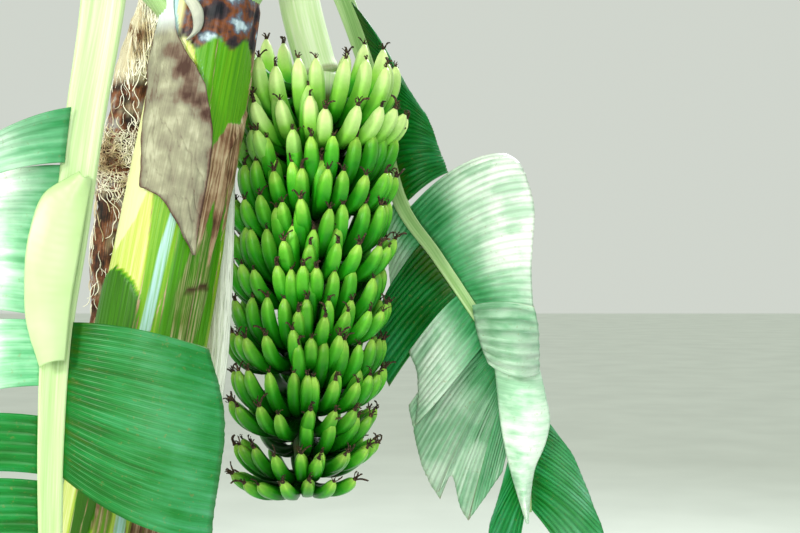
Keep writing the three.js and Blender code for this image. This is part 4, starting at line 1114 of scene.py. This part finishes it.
# Two old leaves that hang from snapped stalks. Each strip has the two ends of its stretch of rib (root) or
# the line it starts from, the points of its outer edge, how far its middle stands out (bulge, and head
# where its head differs), its tone, which paints it lighter where lit and darker where it lies in shade,
# under 1 where its lower face shows in front, and where they differ from the rest how strongly its two
# ends are whitened with painted highlight (whitening), its pleats, their pitch and its rise. It has look 1
# where it is folded so closely round the rib that it has the rib's pale skin.
BROKEN_LINE = [
    [400, 100, 2120], [372, 270, 2360], [430, 470, 2420], [560, 560, 2220], [670, 500, 1920],
    [732, 420, 1647], [814, 380, 1525], [898, 340, 1398], [949, 320, 1319], [996, 310, 1167],
    [1008, 310, 970],
]
BROKEN_STRIPS = [
    dict(root=[(600, 540, 2110), (738, 424, 1640)], edge=[(743, 450, 1900), (793, 446, 1836),
         (840, 440, 1712)], bulge=20, tone=0),
    dict(root=[(745, 412, 1628), (905, 338, 1390)], edge=[(968, 374, 1750), (994, 350, 1728),
         (1015, 330, 1675), (1024, 318, 1618), (1019, 312, 1544), (1015, 308, 1492), (1019, 304, 1432),
         (1026, 302, 1385)], bulge=24, tone=0.5, under=1, bloom=(1.1, 0.3), pleat=1.9, rise=(0.12, 0.03)),
    dict(root=[(726, 425, 1650), (812, 382, 1530)], edge=[(700, 452, 1600), (706, 450, 1500),
         (712, 448, 1399)], bulge=8, tone=0.5, under=1, bloom=(0.4, 0.4)),
    dict(root=[(790, 392, 1560), (876, 352, 1432)], edge=[(690, 427, 1420), (678, 424, 1330),
         (707, 418, 1230)], bulge=8, tone=0),
    dict(root=[(868, 354, 1446), (928, 328, 1346)], edge=[(752, 376, 1312), (771, 372, 1260),
         (766, 368, 1150)], bulge=30, tone=0.5, under=1, bloom=(0.7, 0.5), rise=(0.06, 0)),
    dict(root=[(910, 334, 1366), (958, 318, 1270)], edge=[(750, 398, 1190), (771, 394, 1095),
         (789, 388, 1036), (820, 380, 984)], bulge=-4, tone=0.2, under=1, bloom=(0.5, 0.5)),
    dict(root=[(954, 318, 1285), (970, 315, 1240)], edge=[(816, 378, 1002), (846, 374, 1038),
         (866, 370, 965), (882, 366, 940)], bulge=2, tone=0.3, under=1, bloom=(0.4, 0.4)),
    dict(root=[(966, 315, 1250), (990, 312, 1180)], edge=[(884, 358, 943), (916, 354, 990),
         (955, 350, 1050)], bulge=6, tone=0.3, under=1),
    dict(root=[(985, 312, 1210), (1008, 310, 975)], edge=[(1063, 352, 1150), (1112, 354, 1080),
         (1155, 358, 980), (1183, 362, 880), (1120, 360, 815)], bulge=6, tone=0.6,
         bloom=(0.06, 0.06)),
    dict(root=[(992, 312, 1180), (1008, 310, 972)], edge=[(968, 346, 1060), (942, 348, 985),
         (930, 350, 890), (985, 352, 830)], bulge=6, tone=0.5),
    dict(line=[(888, 314, 1416), (897, 304, 1363), (906, 294, 1331), (921, 282, 1292)],
         edge=[(1020, 296, 1414), (1027, 290, 1374), (1030, 284, 1331), (1031, 278, 1272)], bulge=46,
         head=12, tone=0.35, under=1, bloom=(0.35, 0.5), pleat=5.5, pitch=22, rise=(0.07, -0.12)),
    dict(line=[(934, 308, 1308), (942, 302, 1224), (949, 298, 1160), (966, 296, 1074), (1002, 294, 952)],
         edge=[(1028, 306, 1296), (1047, 300, 1218), (1056, 296, 1171), (1047, 294, 1124),
         (1019, 293, 1064), (1009, 293, 1003), (1006, 294, 952)], bulge=26, tone=0.9, under=1,
         bloom=(0.6, 0.7), pleat=0.5, rise=(-0.06, 0)),
]
HANGING_LINE = [
    [375, 0, 2100], [320, -170, 2300], [285, -330, 2333], [270, -420, 2180], [260, -450, 1924],
    [231, -450, 1733], [207, -450, 1542], [187, -450, 1399], [178, -450, 1240], [176, -450, 1076],
    [180, -440, 750], [190, -430, 450],
]
HANGING_STRIPS = [
    dict(root=[(233, -450, 1748), (223, -450, 1662)], edge=[(64, -560, 1660), (28, -566, 1622),
         (52, -560, 1606)], bulge=12, tone=0.8, under=1, bloom=(0.6, 0.3), pleat=1),
    dict(root=[(222, -450, 1658), (193, -450, 1416)], edge=[(20, -470, 1612), (-36, -446, 1540),
         (-44, -430, 1424)], bulge=22, tone=0.9, under=1, bloom=(1.5, 1.4), pleat=0.8),
    dict(line=[(246, -466, 1640), (238, -474, 1580), (227, -478, 1510), (216, -480, 1440),
         (206, -476, 1352)], edge=[(226, -470, 1652), (172, -480, 1614), (152, -486, 1550),
         (147, -486, 1490), (148, -484, 1410), (164, -478, 1340)], bulge=9, tone=0.2, under=1, pleat=0.1,
         rise=(-0.2, 0.1), look=1),
    dict(root=[(192, -450, 1412), (180, -450, 1166)], edge=[(424, -430, 1368), (434, -430, 1340),
         (445, -430, 1300), (451, -430, 1262), (451, -430, 1222), (445, -430, 1173), (437, -430, 1125),
         (430, -430, 1055)], bulge=34, tone=0.2, bloom=(0.03, 0.02), pleat=0.55, pitch=10,
         rise=(0.055, -0.05)),
    dict(root=[(188, -450, 1410), (180, -450, 1310)], edge=[(-30, -430, 1392), (-44, -430, 1330),
         (-40, -430, 1262)], bulge=18, tone=0.9, under=1, bloom=(1.4, 1.3), pleat=0.8),
    dict(root=[(180, -450, 1262), (177, -450, 1170)], edge=[(-50, -430, 1246), (-58, -430, 1200),
         (-60, -430, 1152)], bulge=16, tone=0.4, pleat=1),
    dict(root=[(177, -450, 1160), (176, -450, 1070)], edge=[(-60, -430, 1140), (-62, -430, 1090),
         (-60, -430, 1040)], bulge=16, tone=0.35, pleat=1),
    dict(root=[(176, -448, 1060), (180, -445, 850)], edge=[(-60, -420, 1020), (-56, -420, 930),
         (-30, -420, 800)], bulge=16, tone=0.2, pleat=1.2),
    dict(root=[(178, -446, 1020), (184, -440, 810)], edge=[(430, -420, 930), (420, -420, 830),
         (400, -420, 720)], bulge=20, tone=0.35, pleat=1.2),
    dict(root=[(183, -438, 760), (192, -430, 470)], edge=[(370, -415, 650), (330, -415, 560),
         (250, -420, 470)], bulge=16, tone=0.5, pleat=1.2),
    dict(root=[(180, -438, 800), (186, -430, 470)], edge=[(-20, -415, 740), (30, -415, 600),
         (120, -420, 470)], bulge=16, tone=0.25, pleat=1.2),
]
PLAIN_STRIP = dict(under=0, bloom=(0, 0), pleat=2.4, pitch=PLEAT_PITCH, rise=(0.06, 0.06), look=0)
DRAWN_COLUMNS = 26
DRAWN_RIB_STEPS = 110


def make_drawn_leaf(name, points, front, rib_size, rib_tone, strips, seed):
    line = Line(points)
    chance = Chance(seed)
    piece = Piece()
    rib(piece, line, np.array(front), rib_size, DRAWN_RIB_STEPS, rib_tone)
    for strip in strips:
        drawn_strip(piece, line, rib_size, {**PLAIN_STRIP, **strip}, chance)
    nodes = [f"{name}_stalk", f"{name}_blade", f"{name}_end"]
    piece.make(name, [LEAF_BLADE, LEAF_MIDRIB], nodes)


def drawn_strip(piece, line, rib_size, strip, chance):
    """A strip from a stretch of the rib or a drawn line to a drawn edge: pleated, with a ragged rim."""
    edge_line = Line(strip["edge"])
    root_line = Line(strip["line"]) if "line" in strip else line
    start, end = (0, 1) if "line" in strip else map(line.nearest, strip["root"])
    length = max((end - start) * root_line.length, edge_line.length)
    v = np.linspace(0, 1, max(8, int(length / PLEAT_PITCH * ROWS_PER_PLEAT)))[:, None]
    c = np.linspace(0, 1, DRAWN_COLUMNS)[None, :] ** 0.95
    place = lerp(start, end, v[:, 0])
    root = root_line.at(place)
    edge = edge_line.at(v[:, 0])
    if "root" in strip:
        sideways = square_to(edge - root, line.tangent(place))
        root = root + sideways * rib_size_at(place, rib_size)[0][:, None] * 0.8
    reach = np.linalg.norm(edge - root, axis=1)[:, None]
    ragged = 1 - 0.012 * np.abs(ripple(v * length / 30, 0, chance.seed())) * smoothstep(0.8, 1, c)
    bow = 4 * c * (1 - c)
    rise = lerp(*strip["rise"], v) * reach
    bulge = lerp(strip.get("head", strip["bulge"]), strip["bulge"], smoothstep(0, 0.5, v))
    grid = root[:, None] + (edge - root)[:, None] * (c * ragged)[..., None]
    grid = grid + UP * (rise * bow)[..., None] - np.array([0, 1, 0]) * (bulge * bow)[..., None]
    # the rows run backwards where that turns the wanted side to the front
    way = 1 if (crossed(grid)[..., 1].mean() > 0) == (strip["under"] > 0) else -1
    along = (v * length * PLEAT_PITCH / strip["pitch"])[::way]
    grid = pleated(grid[::way], along, c, strip["pleat"], chance.seed(), waves=5)
    torn = np.minimum(v + ("head" in strip), 1 - v) * length
    dry = 0.5 * np.exp(-torn / 3) * smoothstep(0.3, 1, c) + 0.35 * smoothstep(0.97, 1, c)
    # painted highlight: whitening goes from its first to its second value along the strip, and fades out
    # toward the rib where the strip starts at the rib
    bloom = lerp(*strip["bloom"], smoothstep(0.55, 0.95, v)) * smoothstep(0.1, 0.7, c + ("line" in strip))
    piece.sheet(grid, BLADE_THICKNESS, strip["look"], along=along, across=c, dry=dry, tone=strip["tone"],
                bloom=bloom[::way], folded=min(1, strip["pleat"] / 2))


# Dead parts: a bleached stalk beside the stem and a bundle of rotted sheaths behind it

DRY_STALK = {
    "line": [[372, 110, 2100], [347, 172, 1990], [354, 164, 1800], [356, 155, 1620], [358, 127, 1330],
             [349, 107, 1200], [318, 92, 966], [303, 86, 800]],
    "wide": 46, "deep": 21, "head": 0.12,
}
DEAD_BUNDLE = {
    "line": [[335, 95, 2160], [240, 115, 1950], [180, 110, 1660], [150, 100, 1420], [140, 90, 1270]],
    "wide": 76, "deep": 48, "head": 0.3,
}
COMBED_FROM = 1868                      # height above which the bundle is straw-coloured
ROOTED_FROM = 1965                      # height above which long combed strands start
CURLY = (1655, 1765)                    # heights between which it is a curly mat
BLEND = 15                              # how far one of these goes over into the next
FIBRE_RADIUS = 50                       # at which the fibres' spacing round a dead part holds


def oval_rings(shape, steps, sides, relief):
    """An oval tube, thin at its head and its end, with relief added to its radius in millimetres."""
    line = Line(shape["line"])
    shares = np.linspace(0, 1, steps)
    tangent = line.tangent(shares)
    middle = line.at(shares)
    face = square_to(middle - stem_axis(middle[:, 2]), tangent)
    across = np.cross(tangent, face)
    head = shape["head"]
    swell = 0.35 + 0.65 * np.sin(np.pi * np.minimum(1, shares * (1 - head) + head)) ** 0.7
    turn = circle(sides)
    length = shares[:, None] * line.length
    arc = turn * FIBRE_RADIUS
    wide, deep = (shape[name] * swell[:, None] + relief(arc, length) for name in ("wide", "deep"))
    rings = (middle[:, None] - across[:, None] * (wide * np.cos(turn))[..., None]
             + face[:, None] * (deep * np.sin(turn))[..., None])
    return rings, length, arc


def make_dry_stalk():
    def relief(arc, length):
        ring = np.exp(-((length - 720) / 5) ** 2)
        return -3 + 1.3 * np.sin(arc / 3.1 + 1.5 * ripple(arc / 60, length / 400, 6)) + 1.8 * ring

    rings, length, arc = oval_rings(DRY_STALK, 160, 60, relief)
    stalk = Piece()
    stalk.tube(rings, along=length, across=arc)
    stalk.make("bleached_leaf_stalk", [DRY_STALK_STRAW], ["dry_stalk"])


def make_dead_bundle():
    def relief(arc, length):
        bands = np.abs(np.sin(length / 62 + 0.5 * ripple(arc / 90, length / 200, 2)))
        return -9 + 6 * bands**0.5 + 4 * ripple(arc / 40, length / 50, 31)

    rings, length, arc = oval_rings(DEAD_BUNDLE, 170, 64, relief)
    high = rings[..., 2]
    combed, rooted, curly = (smoothstep(start - BLEND, start + BLEND, high)
                             for start in (COMBED_FROM, ROOTED_FROM, CURLY[0]))
    curly = curly * smoothstep(CURLY[1] + BLEND, CURLY[1] - BLEND, high)
    straw = np.maximum(0.9 * combed, 0.3 * smoothstep(0.2, 0.6, ripple(arc / 60, length / 90, 44)))
    core = Piece()
    core.tube(rings, along=length, across=arc, straw=straw)
    core.make("dead_sheath_bundle", [DEAD_FIBRE], ["dead_bundle"])
    make_straw(rings, {"thick": np.maximum(rooted, curly) + 0.07, "wild": 0.6 - 0.3 * rooted + 2.2 * curly,
                       "longer": 0.75 + 1.1 * rooted - 0.2 * curly})


def straw_strands(add, given):
    """Loose straw: curved strands that hang from points on the skin, each leaning its own way."""
    bend = add(CURVE, {
        "Resolution": 7, "Start": (0, 0, 0), "Start Handle": (0.005, 0.016, 0.025),
        "End Handle": (0.011, -0.018, 0.05), "End": (0.004, 0.005, 0.075),
    }, mode="POSITION")
    shape = add(CIRCLE, {"Resolution": 3, "Radius": given["Strand radius"]}, mode="RADIUS")
    strand = add(TO_MESH, {"Curve": bend, "Profile Curve": shape, "Fill Caps": True})
    thick, wild, longer = (add(NAMED, {"Name": mark}, data_type="FLOAT")
                           for mark in ("thick", "wild", "longer"))
    density = add(MATH, [thick, given["Density"]], operation="MULTIPLY")
    spots = add("GeometryNodeDistributePointsOnFaces", {
        "Mesh": given["Geometry"], "Density": density, "Seed": 7,
    })
    down = add(ALIGN, {"Vector": (0, 0, -1)}, axis="Z")
    out = add(ALIGN, {"Rotation": down, "Vector": spots.node.outputs["Normal"]}, axis="X", pivot_axis="Z")
    lean = add(RANDOM, {2: -1.0, 3: 1.0, "Seed": 2}, out=1, data_type="FLOAT")
    angle = add(MATH, [lean, wild], operation="MULTIPLY")
    turned = add(ROTATE, {"Rotation": out, "Axis": (1, 0, 0), "Angle": angle}, **AROUND_ITS_AXIS)
    grow = add(RANDOM, {2: 0.35, 3: 1.1, "Seed": 4}, out=1, data_type="FLOAT")
    length = add(MATH, [grow, longer], operation="MULTIPLY")
    scale = add("ShaderNodeCombineXYZ", [grow, grow, length])
    strands = add(ON_POINTS, {"Points": spots, "Instance": strand, "Rotation": turned, "Scale": scale})
    return add(REALIZE, [strands])


def make_straw(rings, marks):
    """Loose straw over the dead bundle, as thick, wild and long as the marks say."""
    ids = np.arange(rings.shape[0] * rings.shape[1]).reshape(rings.shape[:2])
    ahead = np.roll(ids, -1, axis=1)
    faces = corners(ids[:-1], ahead[:-1], ahead[1:], ids[1:])
    skin = bpy.data.meshes.new("bundle_skin")
    skin.from_pydata((rings.reshape(-1, 3) * MM).tolist(), [], faces.tolist())
    for mark, values in marks.items():
        give_mark(skin, mark, values)
    sizes = {"Strand radius": 0.0012, "Density": 26000.0}
    scatter("bundle_straw", skin, sizes, straw_strands, DRY_STRAW)


# Camera, light and floor

LIGHTS = [                              # name, place, point it aims at, size, power, colour
    ("key", (-2.3, -3.9, 3.1), (0.5, 0.2, 1.7), 1.0, 205, "#fffdf2"),
    ("front", (0.9, -4.4, 2.7), (0.5, 0.2, 1.7), 1.4, 98, "#fffef8"),
    ("back", (2.6, 3.4, 4.8), (0.6, 0.2, 1.7), 2.2, 220, "#f4fbff"),
]
FLOOR_HALF = 40


def make_camera():
    camera = placed("camera", bpy.data.cameras.new("camera"))
    camera.data.lens = 60
    camera.data.sensor_width = 36
    camera.location = (0.732, -2.57, 1.50)
    camera.rotation_euler = (math.radians(90), 0, 0)
    bpy.context.scene.camera = camera


def make_stage():
    world = bpy.data.worlds.new("pale_studio")
    world.use_nodes = True
    background = world.node_tree.nodes["Background"]
    background.inputs["Color"].default_value = colour("#f4faf0")
    background.inputs["Strength"].default_value = 0.7
    bpy.context.scene.world = world
    for name, place, aim, size, power, tint in LIGHTS:
        lamp = bpy.data.lights.new(name, "AREA")
        lamp.shape = "DISK"
        lamp.size = size
        lamp.energy = power
        lamp.color = colour(tint)[:3]
        light = placed(name, lamp)
        light.location = place
        light.rotation_euler = (Vector(aim) - Vector(place)).to_track_quat("-Z", "Y").to_euler()
    square = [(x * FLOOR_HALF, y * FLOOR_HALF, 0) for x, y in ((-1, -1), (1, -1), (1, 1), (-1, 1))]
    paper = bpy.data.meshes.new("floor")
    paper.from_pydata(square, [], [(0, 1, 2, 3)])
    paper.materials.append(FLOOR_PAPER)
    placed("floor", paper)
    bpy.context.scene.view_settings.view_transform = "Standard"


make_camera()
make_stem()
make_flap()
make_stalk()
make_dried_flowers(make_fruit())
leaf_chance = Chance(5150)
for number, leaf in enumerate(LEAVES, 1):
    make_arched_leaf(number, leaf, leaf_chance)
make_drawn_leaf("broken_leaf", BROKEN_LINE, [-0.1, -1, 0.35], 1, 0.35, BROKEN_STRIPS, 77)
make_drawn_leaf("hanging_leaf", HANGING_LINE, [0.1, -1, 0.2], 1.56, 0.05, HANGING_STRIPS, 78)
make_dry_stalk()
make_dead_bundle()
make_stage()
